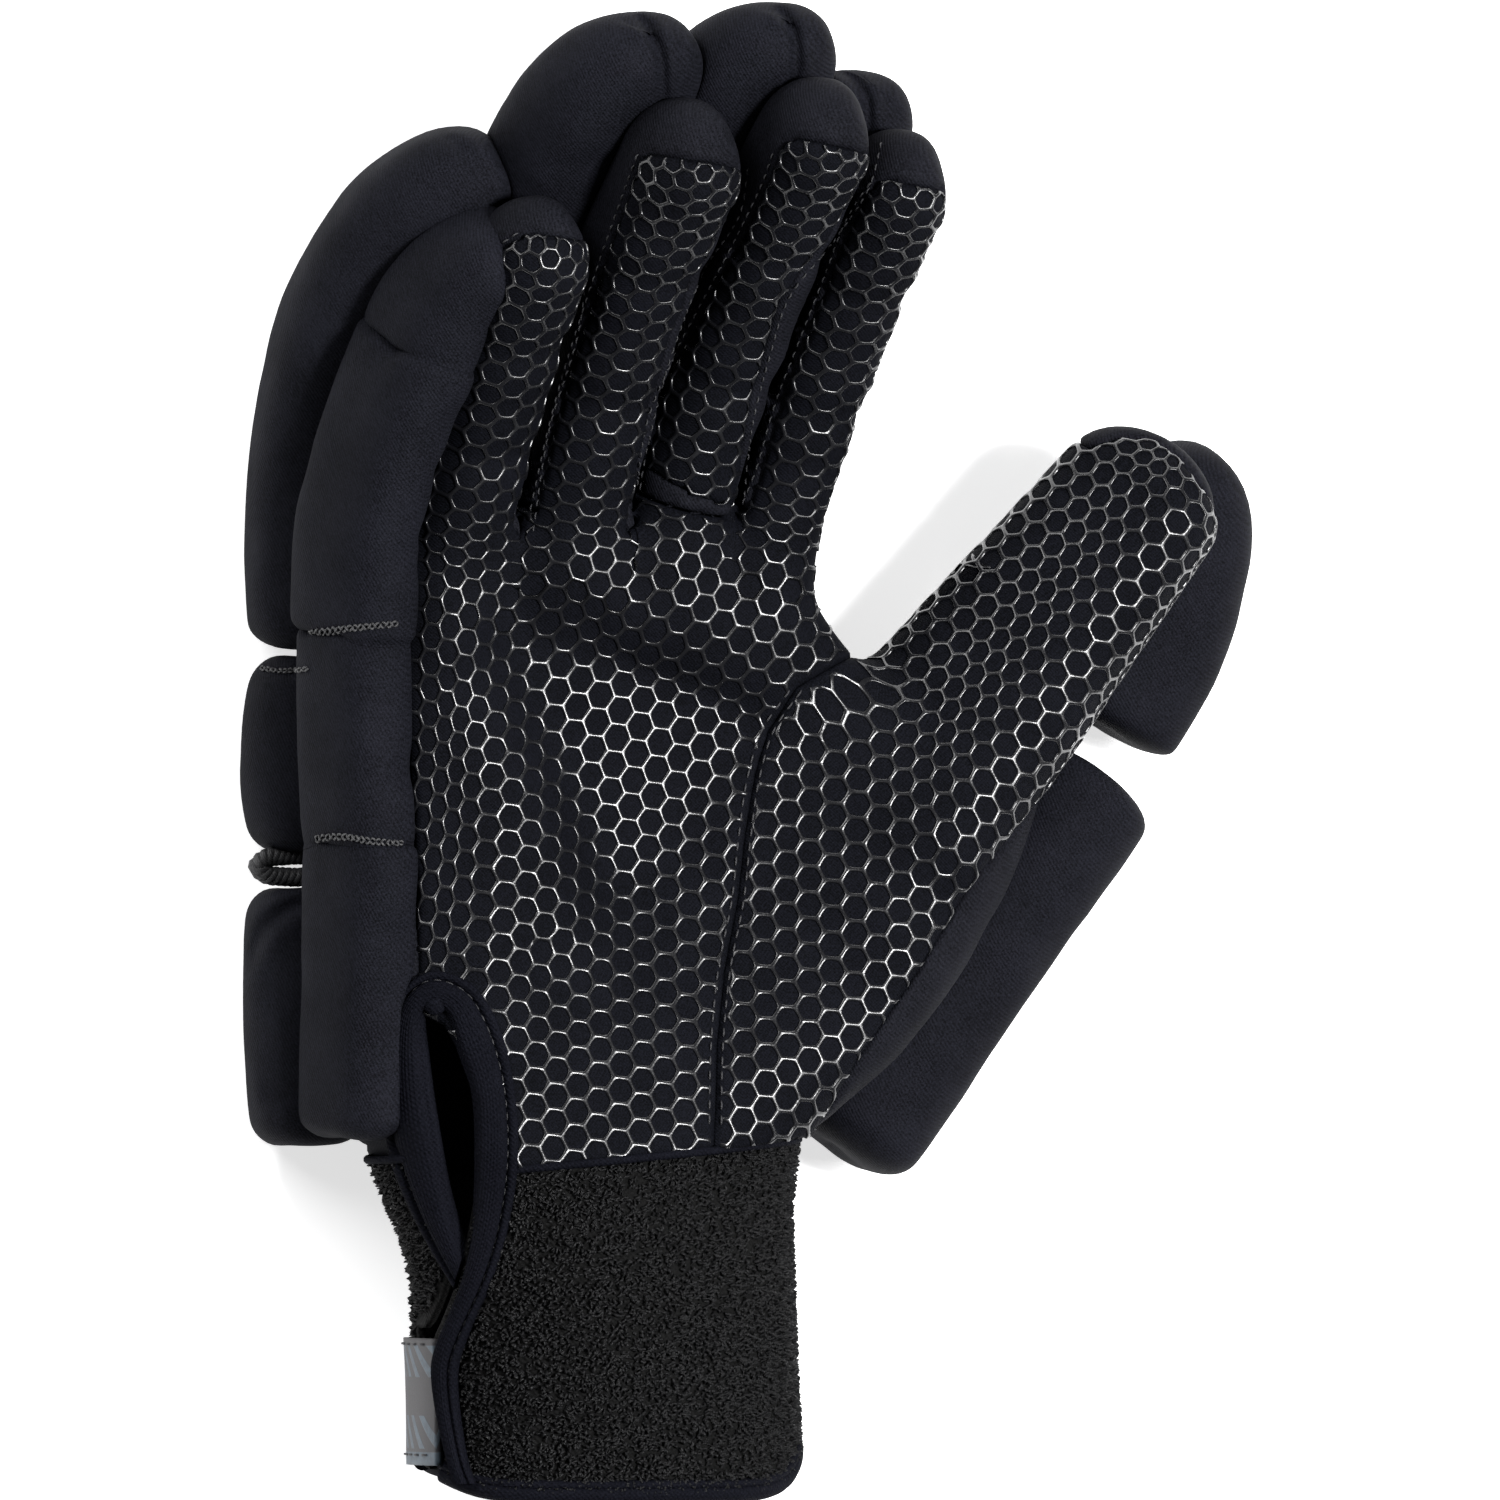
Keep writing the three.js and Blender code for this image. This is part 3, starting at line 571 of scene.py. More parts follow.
@dataclass
class Skin:
    """A surface: points in drawing millimetres, faces, and values kept at each point.

    Faces are rows of three or four point numbers. A row of four may repeat its last number.
    """

    points: Array
    faces: Array
    values: dict[str, Array] = field(default_factory=dict)

    @staticmethod
    def joined(skins: Iterable["Skin"]) -> "Skin":
        """Puts several surfaces into one, each keeping its own points."""
        points, faces, start = [], [], 0
        for skin in skins:
            faces.append(skin.fours() + start)
            points.append(skin.points)
            start += len(skin.points)
        return Skin(np.vstack(points), np.vstack(faces))

    def fours(self) -> Array:
        """Gives the faces as rows of four."""
        return self.faces[:, [0, 1, 2, -1]]

    def corners(self) -> Iterable[Array]:
        """Gives the places of the faces' first three corners."""
        return (self.points[self.faces[:, n]] for n in range(3))

    def normals(self) -> Array:
        """Gives the outward direction at each point, from its faces."""
        a, b, c = self.corners()
        flat = np.cross(b - a, c - a)
        total = np.zeros_like(self.points)
        for n in range(self.faces.shape[1]):
            np.add.at(total, self.faces[:, n], flat)
        return unit(total)

    def clipped(self, level: Array) -> "Skin":
        """Keeps the part of a triangle surface where a value is above zero.

        Args:
            level: The value at each point.

        Returns:
            The part, with its kept values worked out along the cut.
        """
        # A point almost on the line counts as just outside, which leaves no slivers
        level = np.where(np.abs(level) < 0.02, -0.02, level)
        inside = level > 0
        count = inside[self.faces].sum(axis=1)
        cut = (count == 1) | (count == 2)
        mixed = self.faces[cut]
        turn = np.argmax(inside[mixed] == (count[cut] == 1)[:, None], axis=1)
        rows = np.arange(len(mixed))
        first, second, third = (mixed[rows, (turn + n) % 3] for n in range(3))
        edges = np.vstack([np.column_stack([first, second]), np.column_stack([first, third])])
        lines, back = np.unique(self.edge_keys(edges), return_inverse=True)
        low, high = lines // len(level), lines % len(level)
        share = (level[low] / (level[low] - level[high]))[:, None]
        points = np.vstack([self.points, self.points[low] * (1 - share) + self.points[high] * share])
        values = {}
        for name, kept in self.values.items():
            part = share if kept.ndim > 1 else share[:, 0]
            values[name] = np.concatenate([kept, kept[low] * (1 - part) + kept[high] * part])
        back = back.reshape(-1) + len(level)
        one, two = back[:len(mixed)], back[len(mixed):]
        single = inside[first]
        faces = np.vstack([
            self.faces[count == 3],
            np.column_stack([first, one, two])[single],
            np.column_stack([one, second, third])[~single],
            np.column_stack([one, third, two])[~single],
        ])
        used, faces = np.unique(faces, return_inverse=True)
        kept = {name: value[used] for name, value in values.items()}
        return Skin(points[used], faces.reshape(-1, 3), kept)

    def outward(self) -> "Skin":
        """Turns a closed body's faces round if they face in."""
        a, b, c = self.corners()
        if np.sum(a * np.cross(b, c)) < 0:
            # A triangle's doubled corner stays last
            turned = [1, 0, 3, 2] if self.faces.shape[1] == 4 else [1, 0, 2]
            return Skin(self.points, self.faces[:, turned], self.values)
        return self

    def edge_keys(self, edges: Array) -> Array:
        """Gives one number for each edge, whichever way it runs."""
        return np.min(edges, axis=1) * len(self.points) + np.max(edges, axis=1)

    def rim(self) -> Array:
        """Gives the directed edges that only one triangle has."""
        edges = np.vstack([self.faces[:, [0, 1]], self.faces[:, [1, 2]], self.faces[:, [2, 0]]])
        _, index, count = np.unique(self.edge_keys(edges), return_index=True, return_counts=True)
        return edges[index[count == 1]]

    def thickened(self, ways: Array, thick: float) -> "Skin":
        """Makes the surface into a closed sheet that goes inward by its thickness."""
        count = len(self.points)
        rim = self.rim()
        under = self.faces[:, ::-1] + count
        sides = np.vstack([
            np.column_stack([rim[:, 1], rim[:, 0], rim[:, 0] + count]),
            np.column_stack([rim[:, 1], rim[:, 0] + count, rim[:, 1] + count]),
        ])
        return Skin(np.vstack([self.points, self.points - thick * ways]),
                    np.vstack([self.faces, under, sides]))


def grid_faces(rows: int, columns: int) -> Array:
    """Gives the four-sided faces of a grid of points, whose rows each close into a ring.

    Args:
        rows: How many rows of points.
        columns: How many points a row has.

    Returns:
        The faces, facing out where a row runs counterclockwise seen from the last row.
    """
    row, column = (part.ravel() for part in np.indices((rows - 1, columns)))
    after = (column + 1) % columns
    return np.column_stack([
        row * columns + column, row * columns + after,
        (row + 1) * columns + after, (row + 1) * columns + column])


def loft(rings: Array) -> Skin:
    """Makes a closed body from rings of points, both its ends closed with a fan.

    Args:
        rings: Rings by points by three numbers, each ring counterclockwise seen from the last one.

    Returns:
        The body.
    """
    count, around, _ = rings.shape
    points = np.vstack([rings.reshape(-1, 3), rings[0].mean(axis=0), rings[-1].mean(axis=0)])
    turn = np.arange(around)
    after, top = (turn + 1) % around, (count - 1) * around
    low, high = (np.full(around, count * around + n) for n in (0, 1))
    return Skin(points, np.vstack([
        grid_faces(count, around), np.column_stack([after, turn, low, low]),
        np.column_stack([turn + top, after + top, high, high])]))


def sweep(path: Array, ups: Array, outline: Array, sizes: Array | None = None) -> Skin:
    """Runs a closed flat outline along a path.

    Args:
        path: The path's points.
        ups: The outward direction at each point of the path.
        outline: The outline's points: across, to the right of the way it runs seen with up toward
            the eye, and up.
        sizes: Share of the outline's size at each point of the path.

    Returns:
        The closed body.
    """
    way = unit(np.gradient(path, axis=0))
    across = unit(np.cross(way, ups))
    up = np.cross(across, way)
    share = np.ones(len(path)) if sizes is None else sizes
    rings = (path[:, None, :]
             + (share[:, None] * outline[None, :, 0])[..., None] * across[:, None, :]
             + (share[:, None] * outline[None, :, 1])[..., None] * up[:, None, :])
    return loft(rings[:, ::-1])


def oval(wide: float, tall: float, sides: int, power: float = 2.0) -> Array:
    """Gives the points of an oval outline, counterclockwise. A power above 2 makes it squarer."""
    angle = (np.arange(sides) + 0.5) / sides * math.tau
    return np.column_stack([squared(np.cos(angle), power) * wide / 2,
                            squared(np.sin(angle), power) * tall / 2])


# Along one stitch: the share of its length, its rise in thicknesses, its share of the thickness
STITCH_PLACES = np.array([0, 0.12, 0.3, 0.5, 0.7, 0.88, 1])
STITCH_ARCH = np.array([-0.55, 0.05, 0.4, 0.5, 0.4, 0.05, -0.55])
STITCH_SIZES = np.array([0.45, 0.85, 1, 1, 1, 0.85, 0.45])


def stitches(line: Array, ups: Array, length: float, gap: float, thick: float,
             lift: float = 0.0) -> Skin:
    """Lays a row of short thread stitches along a line.

    Args:
        line: The line's points.
        ups: The outward direction at each point.
        length: Length of one stitch.
        gap: Distance between two stitches.
        thick: Thickness of the thread.
        lift: How far the stitches lie above the line.

    Returns:
        All the stitches in one surface.
    """
    run = run_along(line)
    skins = []
    for start in np.arange(gap / 2, run[-1] - length, length + gap):
        at = start + STITCH_PLACES * length
        up = unit(read_line(at, run, ups))
        path = read_line(at, run, line) + (STITCH_ARCH * thick + lift)[:, None] * up
        skins.append(sweep(path, up, oval(thick, thick * 0.9, 6), STITCH_SIZES))
    return Skin.joined(skins)


class Surface:
    """Looks places up on a triangle surface."""

    def __init__(self, skin: Skin, ways: Array | None = None) -> None:
        """Keeps the surface and the outward direction at each of its points."""
        self.skin = skin
        self.ways = skin.normals() if ways is None else ways
        rows = skin.faces
        if rows.shape[1] == 4:
            rows = np.vstack([rows[:, [0, 1, 2]], rows[rows[:, 2] != rows[:, 3]][:, [0, 2, 3]]])
        self.rows = rows
        self.tree = BVHTree.FromPolygons(skin.points.tolist(), rows.tolist(), all_triangles=True)

    def seen(self, flat: Array) -> tuple[Array, Array, Array]:
        """Finds the places that the photograph shows at flat points of its plane.

        Args:
            flat: Millimetres right and up of the photograph's middle.

        Returns:
            The places, the outward directions there, and whether the surface was hit.
        """
        places, ways, hit = [], [], []
        for right, up in flat:
            eye = right * VIEW_RIGHT + np.array([0, up, 0]) + EYE_AWAY * VIEW_BACK
            place, _, row, _ = self.tree.ray_cast(Vector(eye), Vector(-VIEW_BACK))
            hit.append(place is not None)
            if place is None:
                place, _, row, _ = self.nearest_to_ray(eye)
            places.append(place)
            ways.append(self.way_at(row, place))
        return np.array(places), np.array(ways), np.array(hit)

    def nearest_to_ray(self, eye: Array) -> tuple:
        """Finds the surface's place nearest to a line of sight that misses it."""
        found = (self.tree.find_nearest(Vector(eye - depth * VIEW_BACK))
                 for depth in np.linspace(EYE_AWAY - EYE_SPAN, EYE_AWAY, 30))
        return min(found, key=lambda nearest: nearest[3])

    def way_at(self, row: int, place: Vector) -> Array:
        """Gives the outward direction at a place on one triangle."""
        corners = self.rows[row]
        share = shares(np.array(place), *self.skin.points[corners])
        return unit(share @ self.ways[corners])


def shares(place: Array, a: Array, b: Array, c: Array) -> Array:
    """Gives the shares of a triangle's three corners that make up a place in its plane."""
    one, two, off = b - a, c - a, place - a
    d11, d12, d22 = one @ one, one @ two, two @ two
    o1, o2 = off @ one, off @ two
    base = d11 * d22 - d12 * d12
    if abs(base) < 1e-12:
        return np.array([1.0, 0.0, 0.0])
    v, w = (d22 * o1 - d12 * o2) / base, (d11 * o2 - d12 * o1) / base
    return np.array([1 - v - w, v, w])


class Wire:
    """A number that runs through a material: an expression on it adds Math nodes."""

    def __init__(self, dress: "Dress", socket: bpy.types.NodeSocket) -> None:
        """Keeps the socket that the number comes from."""
        self.dress = dress
        self.socket = socket

    def maths(self, operation: str, *others: "Wire | float") -> "Wire":
        """Adds one Math node with this number as its first value."""
        sockets = {0: self, **{n + 1: other for n, other in enumerate(others)}}
        return self.dress.wire(self.dress.node("ShaderNodeMath", {"operation": operation}, sockets))

    def __add__(self, other: "Wire | float") -> "Wire":
        """Adds."""
        return self.maths("ADD", other)

    __radd__ = __add__

    def __sub__(self, other: "Wire | float") -> "Wire":
        """Takes away."""
        return self.maths("SUBTRACT", other)

    def __rsub__(self, other: float) -> "Wire":
        """Takes this number from a plain one."""
        return (self * -1.0) + other

    def __mul__(self, other: "Wire | float") -> "Wire":
        """Multiplies."""
        return self.maths("MULTIPLY", other)

    __rmul__ = __mul__

    def sine(self) -> "Wire":
        """Gives its sine."""
        return self.maths("SINE")

    def part(self) -> "Wire":
        """Gives what is left over a whole number."""
        return self.maths("FRACT")

    def least(self, other: "Wire | float") -> "Wire":
        """Gives the smaller of two numbers."""
        return self.maths("MINIMUM", other)

    def most(self, other: "Wire | float") -> "Wire":
        """Gives the larger of two numbers."""
        return self.maths("MAXIMUM", other)

    def step(self, low: float, high: float) -> "Wire":
        """Gives a smooth step from 0 at low to 1 at high."""
        return self.dress.wire(self.dress.node(
            "ShaderNodeMapRange", {"interpolation_type": "SMOOTHSTEP"},
            {"Value": self, "From Min": low, "From Max": high}))


class Dress:
    """Builds one material's nodes round a Principled shader."""

    def __init__(self, name: str) -> None:
        """Starts an empty material."""
        self.material = bpy.data.materials.new(name)
        self.material.use_nodes = True
        self.tree = self.material.node_tree
        self.tree.nodes.clear()
        self.shader = self.tree.nodes.new("ShaderNodeBsdfPrincipled")
        output = self.tree.nodes.new("ShaderNodeOutputMaterial")
        self.tree.links.new(self.shader.outputs[0], output.inputs["Surface"])

    def node(self, kind: str, settings: dict | None = None, sockets: dict | None = None) -> bpy.types.Node:
        """Adds one node.

        Args:
            kind: The node's type.
            settings: Its settings, set first.
            sockets: Values, wires or sockets for its inputs, by name or number.

        Returns:
            The node.
        """
        node = self.tree.nodes.new(kind)
        for name, value in (settings or {}).items():
            setattr(node, name, value)
        for name, value in (sockets or {}).items():
            self.plug(node.inputs[name], value)
        return node

    def plug(self, socket: bpy.types.NodeSocket, value: object) -> None:
        """Links a wire or socket to an input, or sets the input's own value."""
        if isinstance(value, (Wire, bpy.types.NodeSocket)):
            self.tree.links.new(getattr(value, "socket", value), socket)
        elif isinstance(value, tuple) and len(value) == 3 and socket.type == "RGBA":
            socket.default_value = (*value, 1)
        else:
            socket.default_value = value

    def wire(self, node: bpy.types.Node, output: int | str = 0) -> Wire:
        """Wraps a node's output."""
        return Wire(self, node.outputs[output])

    def place(self) -> tuple[Wire, Wire, Wire]:
        """Gives the place on the piece in millimetres: x, y and z."""
        place = self.node("ShaderNodeTexCoord").outputs["Object"]
        parts = self.node("ShaderNodeSeparateXYZ", {}, {0: place})
        return tuple(self.wire(parts, n) * 1000.0 for n in range(3))

    def wave(self, lean: Colour, pitch: float) -> Wire:
        """Gives ribs from 0 to 1, a pitch of millimetres apart, that follow one another along lean."""
        across, along, up = (part * share for part, share in zip(self.place(), lean))
        return ((across + along + up) * (math.tau / pitch)).sine() * 0.5 + 0.5

    def noise(self, size: float, detail: float, rough: float) -> Wire:
        """Gives cloudy unevenness from 0 to 1 whose patches are about size millimetres."""
        place = self.node("ShaderNodeTexCoord").outputs["Object"]
        return self.wire(self.node("ShaderNodeTexNoise", {}, {
            "Vector": place, "Scale": 1000.0 / size, "Detail": detail, "Roughness": rough}))

    def mixed(self, share: Wire, one: object, two: object) -> bpy.types.NodeSocket:
        """Mixes two colours by a share and gives the result's socket."""
        return self.node("ShaderNodeMix", {"data_type": "RGBA"}, {0: share, 6: one, 7: two}).outputs[2]

    def set(self, **values: object) -> None:
        """Sets or links inputs of the shader. A name's underscores stand for spaces."""
        for name, value in values.items():
            self.plug(self.shader.inputs[name.replace("_", " ")], value)

    def bump(self, height: Wire, depth: float) -> None:
        """Raises the surface by a height from 0 to 1 that stands for depth millimetres."""
        node = self.node("ShaderNodeBump", {}, {"Height": height, "Distance": depth * MM, "Strength": 1.0})
        self.plug(self.shader.inputs["Normal"], node.outputs[0])


@dataclass(frozen=True)
class Finish:
    """A finish: its name, the record's slot that it comes from, its darkest and lightest colour."""

    name: str
    slot: str
    dark: Colour
    light: Colour

    @cache
    def material(self) -> bpy.types.Material:
        """Makes the finish's material, once."""
        dress = Dress(self.name)
        self.look(dress)
        return dress.material


class Weave(Enum):
    """How a cloth's threads lie."""

    TWILL = "fine slanting ribs"
    JERSEY = "a close flat knit"


@dataclass(frozen=True)
class Cloth(Finish):
    """A dark stretch cloth with its weave, fuzz and faint wear."""

    weave: Weave = Weave.JERSEY
    pitch: float = 0.8
    relief: float = 0.10
    shine: float = 0.07

    def knit(self, dress: Dress) -> Wire:
        """Gives the height of the threads, from 0 to 1, on the palm side, flanks and ends alike."""
        if self.weave is Weave.TWILL:
            ribs = dress.wave((0.86, 0.5, 0.72), self.pitch)
            return ribs * 0.8 + dress.wave((0.5, -0.86, 0.6), self.pitch * 0.55) * 0.2
        x, y, z = dress.place()
        rows = ((y + z * 0.7) * (math.tau / self.pitch)).sine()
        columns = ((x - z * 0.7) * (math.tau / self.pitch)).sine()
        return rows * columns * 0.5 + 0.5

    def look(self, dress: Dress) -> None:
        """Gives the cloth's colour, roughness and relief."""
        knit = self.knit(dress)
        fuzz = dress.noise(0.35, 3.0, 0.7)
        cloud = dress.noise(14.0, 3.0, 0.55)
        lint = dress.noise(1.6, 2.0, 0.6).step(0.68, 0.78)
        share = knit * 0.3 + fuzz * 2.8 + cloud * 0.7 - 1.45
        colour = dress.mixed(share.most(0.0).least(1.0), self.dark, self.light)
        worn = tuple(part * 1.6 + 0.004 for part in self.light)
        dress.set(Base_Color=dress.mixed(lint * 0.16, colour, worn), Specular_IOR_Level=self.shine,
                  Roughness=0.82 - cloud * 0.12 + fuzz * 0.06)
        dress.bump(knit * 0.75 + fuzz * 0.35 + cloud * 0.5, self.relief)


class Silicone(Finish):
    """The raised net printed on the palm: smooth black silicone, a little dusty."""

    def look(self, dress: Dress) -> None:
        """Gives the net's colour, gloss and grain."""
        cloud = dress.noise(18.0, 3.0, 0.6)
        grain = dress.noise(0.5, 2.0, 0.6)
        wear = dress.noise(3.0, 3.0, 0.6).step(0.5, 0.75)
        dress.set(Base_Color=dress.mixed(wear * 0.5 + cloud * 0.3, self.dark, self.light),
                  Roughness=cloud * 0.10 + grain * 0.10 + wear * 0.08 + 0.16, Specular_IOR_Level=0.5)
        dress.bump(grain, 0.03)


class Thread(Finish):
    """Sewing thread: twisted, with a faint shine."""

    def look(self, dress: Dress) -> None:
        """Gives the thread's colour, roughness and twist."""
        twist, fuzz = dress.wave((0.7, 0.7, 1.0), 0.35), dress.noise(0.3, 2.0, 0.6)
        dress.set(Base_Color=dress.mixed(twist * 0.6 + fuzz * 0.4, self.dark, self.light),
                  Roughness=fuzz * 0.2 + 0.5)
        dress.bump(twist, 0.05)


class TerryLoop(Finish):
    """The pile of the wrist band: soft black loops, paler in stripes along their twist and in random patches.
    """

    def look(self, dress: Dress) -> None:
        """Gives the pile's colour, roughness and twist."""
        twist = dress.wave((1.0, 0.8, 1.0), 0.42)
        fuzz = dress.noise(0.4, 3.0, 0.7)
        cloud = dress.noise(9.0, 2.0, 0.5)
        share = twist * 0.35 + fuzz * 0.4 + cloud * 0.3
        dress.set(Base_Color=dress.mixed(share.least(1.0), self.dark, self.light),
                  Roughness=fuzz * 0.2 + 0.42, Specular_IOR_Level=0.2)
        dress.bump(twist, 0.08)


@dataclass(frozen=True)
class TabPrint(Finish):
    """The closing tab: dark rubbery tape with slanting blue-grey stripes in two bands."""

    top: float = 0.0  # height of the tab's upper edge on the piece, in millimetres

    def look(self, dress: Dress) -> None:
        """Gives the tab's print, roughness and grain."""
        x, y, z = dress.place()
        down = self.top - y
        band = ((z - x) * 0.29 + y * 0.18).part()
        stripe = band.step(0.10, 0.16) * (1 - band.step(0.52, 0.58))
        upper = down.step(2.1, 2.3) * (1 - down.step(7.6, 7.8))
        lower = down.step(14.3, 14.5) * (1 - down.step(20.0, 20.2))
        edge = down.step(20.6, 20.8)
        wear = dress.noise(1.2, 3.0, 0.6).step(0.35, 0.6)
        share = (stripe * (upper + lower) * 0.85 + edge * 0.8) * (wear * 0.35 + 0.65)
        grain = dress.noise(0.3, 2.0, 0.6)
        dress.set(Base_Color=dress.mixed(share.least(1.0), self.dark, self.light),
                  Roughness=grain * 0.15 + 0.5, Specular_IOR_Level=0.4)
        dress.bump(share * 0.7 + grain * 0.3, 0.08)


# Lines in the photograph, in its pixels. The thumb's seam runs from the web to the wrist
THUMB_SEAM = ((853, 655), (798, 688), (768, 732), (755, 775), (745, 841), (739, 897), (725, 970),
              (718, 1042), (716, 1135), (715, 1175))
# The two edges of each finger's printed strip, from the crotch up to the tip
STRIP_LEFT = {
    "pinky": ((398, 640), (404, 557), (411, 504), (443, 419), (457, 381), (468, 333), (487, 287),
              (501, 256), (533, 232)),
    "ring": ((530, 560), (536, 514), (557, 421), (596, 293), (629, 200), (646, 154)),
    "middle": ((640, 540), (642, 489), (653, 421), (678, 361), (710, 300), (746, 232), (771, 179),
               (781, 150)),
    "index": ((744, 550), (747, 507), (760, 475), (781, 404), (806, 339), (831, 275), (856, 214),
              (881, 179)),
}
STRIP_RIGHT = {
    "pinky": ((526, 575), (528, 535), (545, 430), (575, 330), (585, 240)),
    "ring": ((630, 530), (634, 493), (639, 464), (668, 350), (700, 271), (736, 214), (743, 171)),
    "middle": ((736, 540), (739, 500), (746, 429), (764, 357), (781, 304), (831, 239), (864, 189),
               (876, 143)),
    "index": ((820, 590), (824, 560), (831, 507), (856, 429), (889, 354), (917, 311), (939, 250),
              (951, 207)),
}
STRIP_TOP = {"pinky": (556, 239), "ring": (697, 166), "middle": (820, 148), "index": (914, 188)}
PALM_LEFT = ((398, 560), (402, 626), (407, 714), (413, 806), (417, 883), (419, 959), (420, 1300))
THUMB_FRONT = ((880, 600), (950, 540), (1016, 470), (1068, 432), (1090, 447), (1121, 435), (1155, 437),
               (1182, 457), (1213, 499), (1228, 545), (1194, 613), (1132, 698), (1106, 724),
               (1086, 753), (1037, 805), (998, 855), (968, 893), (926, 962), (860, 1060),
               (812, 1140), (800, 1210))
# The slit beside the wrist, seen from straight above the palm, in drawing millimetres
SLIT = ((-73, -45.5), (-69, -47.5), (-65.3, -55), (-63.3, -70), (-65.5, -91), (-68.2, -102),
        (-66.5, -135), (-67.5, -135), (-69.2, -102), (-66.7, -91), (-73, -64), (-74.8, -49))
SLIT_LOW = 25.0
CROTCH = 8.5  # between two fingers the palm's print ends this far past the knuckles
TURN_REACH = 11.0  # where the cloth turns away from the camera, its facing counts as these millimetres
FAR_OUT, NOT_OWN = -50.0, -20.0  # levels of points that lie on another finger


class Panel(Enum):
    """The pieces of cloth that the hand is sewn from."""

    PALM = "palm_panel"
    THUMB = "thumb_panel"
    BACK = "hand_back"
    PINKY_STALL = "pinky_stall"
    RING_STALL = "ring_stall"
    MIDDLE_STALL = "middle_stall"
    INDEX_STALL = "index_stall"
    THUMB_STALL = "thumb_stall"


@dataclass
class HandShell:
    """The sewn shell of the hand: printed palm and thumb fronts, plain back and finger stalls."""

    form: HandForm
    step: float = 1.3
    low: tuple[float, float, float] = (-88.0, -82.0, 3.0)
    high: tuple[float, float, float] = (86.0, 141.0, 88.0)

    def build(self) -> None:
        """Finds the hand's surface and says how far inside each panel its points lie."""
        points, faces = surface_net(self.form.distance, np.array(self.low), np.array(self.high), self.step)
        points, self.ways = self.form.settle(points)
        self.skin = Skin(points, faces)
        self.surface = Surface(self.skin, self.ways)
        self.measure()
        self.levels = self.panel_levels()
        LOG.info("hand shell: %d faces", len(faces))

    def measure(self) -> None:
        """Works out which stall each point is nearest, and its distance along and round it."""
        points = self.skin.points
        gaps = np.stack([limb.distance(points) for limb in FINGERS])
        self.nearest = np.argmin(gaps, axis=0)
        self.on_thumb = THUMB.distance(points) < gaps.min(axis=0)
        self.along, self.round = np.stack([limb.girth(points) for limb in FINGERS], axis=1)
        self.finger_along = self.along[self.nearest, np.arange(len(points))]
        self.thumb_along, self.thumb_round = THUMB.girth(points)

    def strip_level(self, number: int) -> Array:
        """Gives how far each point lies inside a finger's printed strip."""
        limb, along, way = FINGERS[number], self.along[number], self.round[number]
        # A strip's edge lies on its own finger, so the line of sight is followed only on it
        own = self.skin.faces[np.all(self.nearest[self.skin.faces] == number, axis=1)]
        surface = Surface(Skin(self.skin.points, own), self.ways)
        edges = []
        for pixels in (STRIP_LEFT[limb.name], STRIP_RIGHT[limb.name]):
            place, turn = limb.girth(surface.seen(photo_line(pixels))[0])
            order = np.argsort(place)
            edges.append(np.interp(along, place[order], turn[order]))
        low, high = np.minimum(*edges), np.maximum(*edges)
        # The strip ends straight across the stall as the camera sees it, with rounded corners
        half, middle = (high - low) / 2, (high + low) / 2
        end = (photo_line((STRIP_TOP[limb.name],)) - in_view(self.skin.points)) @ unit(
            in_view(limb.heading[None]))[0]
        reach = np.clip(1 - end / 2.5, 0, 1)
        side = half - 1.6 * (1 - np.sqrt(1 - 0.98 * reach**2)) - np.abs(way - middle)
        return np.minimum(np.minimum(side, end), along + 8)

    def panel_levels(self) -> dict[Panel, Array]:
        """Gives, for each panel, how far inside it each point lies, negative outside."""
        points = self.skin.points
        seen = in_view(points)
        toward = self.ways @ VIEW_BACK
        cut = np.minimum(past_seam(points), slit_gap(points))
        strips = np.max([np.where(self.nearest == number, self.strip_level(number), FAR_OUT)
                         for number in range(len(FINGERS))], axis=0)
        strips = np.minimum(strips, (toward + 0.6) * TURN_REACH)
        thumb_side, _ = line_distance(seen, photo_line(THUMB_SEAM))
        self.seam_gap = np.abs(thumb_side)
        left, _ = line_distance(seen, photo_line(PALM_LEFT))
        front = (toward + 0.3) * TURN_REACH
        middle = np.minimum(np.minimum(left, front), CROTCH - self.finger_along)
        palm = np.minimum(np.maximum(middle, strips), -thumb_side)
        outline = np.vstack([photo_line(THUMB_FRONT), photo_line(THUMB_SEAM)[::-1]])
        thumb = np.minimum(-outline_distance(seen, outline), front)
        rest = np.minimum(np.minimum(-palm, -thumb), cut)
        past = np.where(self.on_thumb, self.thumb_along - THUMB_STALL_START,
                        self.finger_along - STALL_START)
        levels = {Panel.PALM: np.minimum(palm, cut), Panel.THUMB: np.minimum(thumb, cut),
                  Panel.BACK: np.minimum(rest, -past)}
        for number, limb in enumerate(LIMBS):
            own = self.on_thumb if limb is THUMB else (self.nearest == number) & ~self.on_thumb
            levels[Panel(limb.name + "_stall")] = np.minimum(rest, np.where(own, past, NOT_OWN))
        return levels

    def panel(self, name: Panel) -> tuple[Skin, Array]:
        """Cuts one panel out of the hand's surface and rolls its edges down.

        Args:
            name: The panel.

        Returns:
            The panel's outer surface and its outward directions.
        """
        skin = Skin(self.skin.points, self.skin.faces, {"way": self.ways, "level": self.levels[name]})
        skin = skin.clipped(self.levels[name])
        ways = unit(skin.values["way"])
        return Skin(skin.points - rolled_down(skin.values["level"])[:, None] * ways, skin.faces), ways


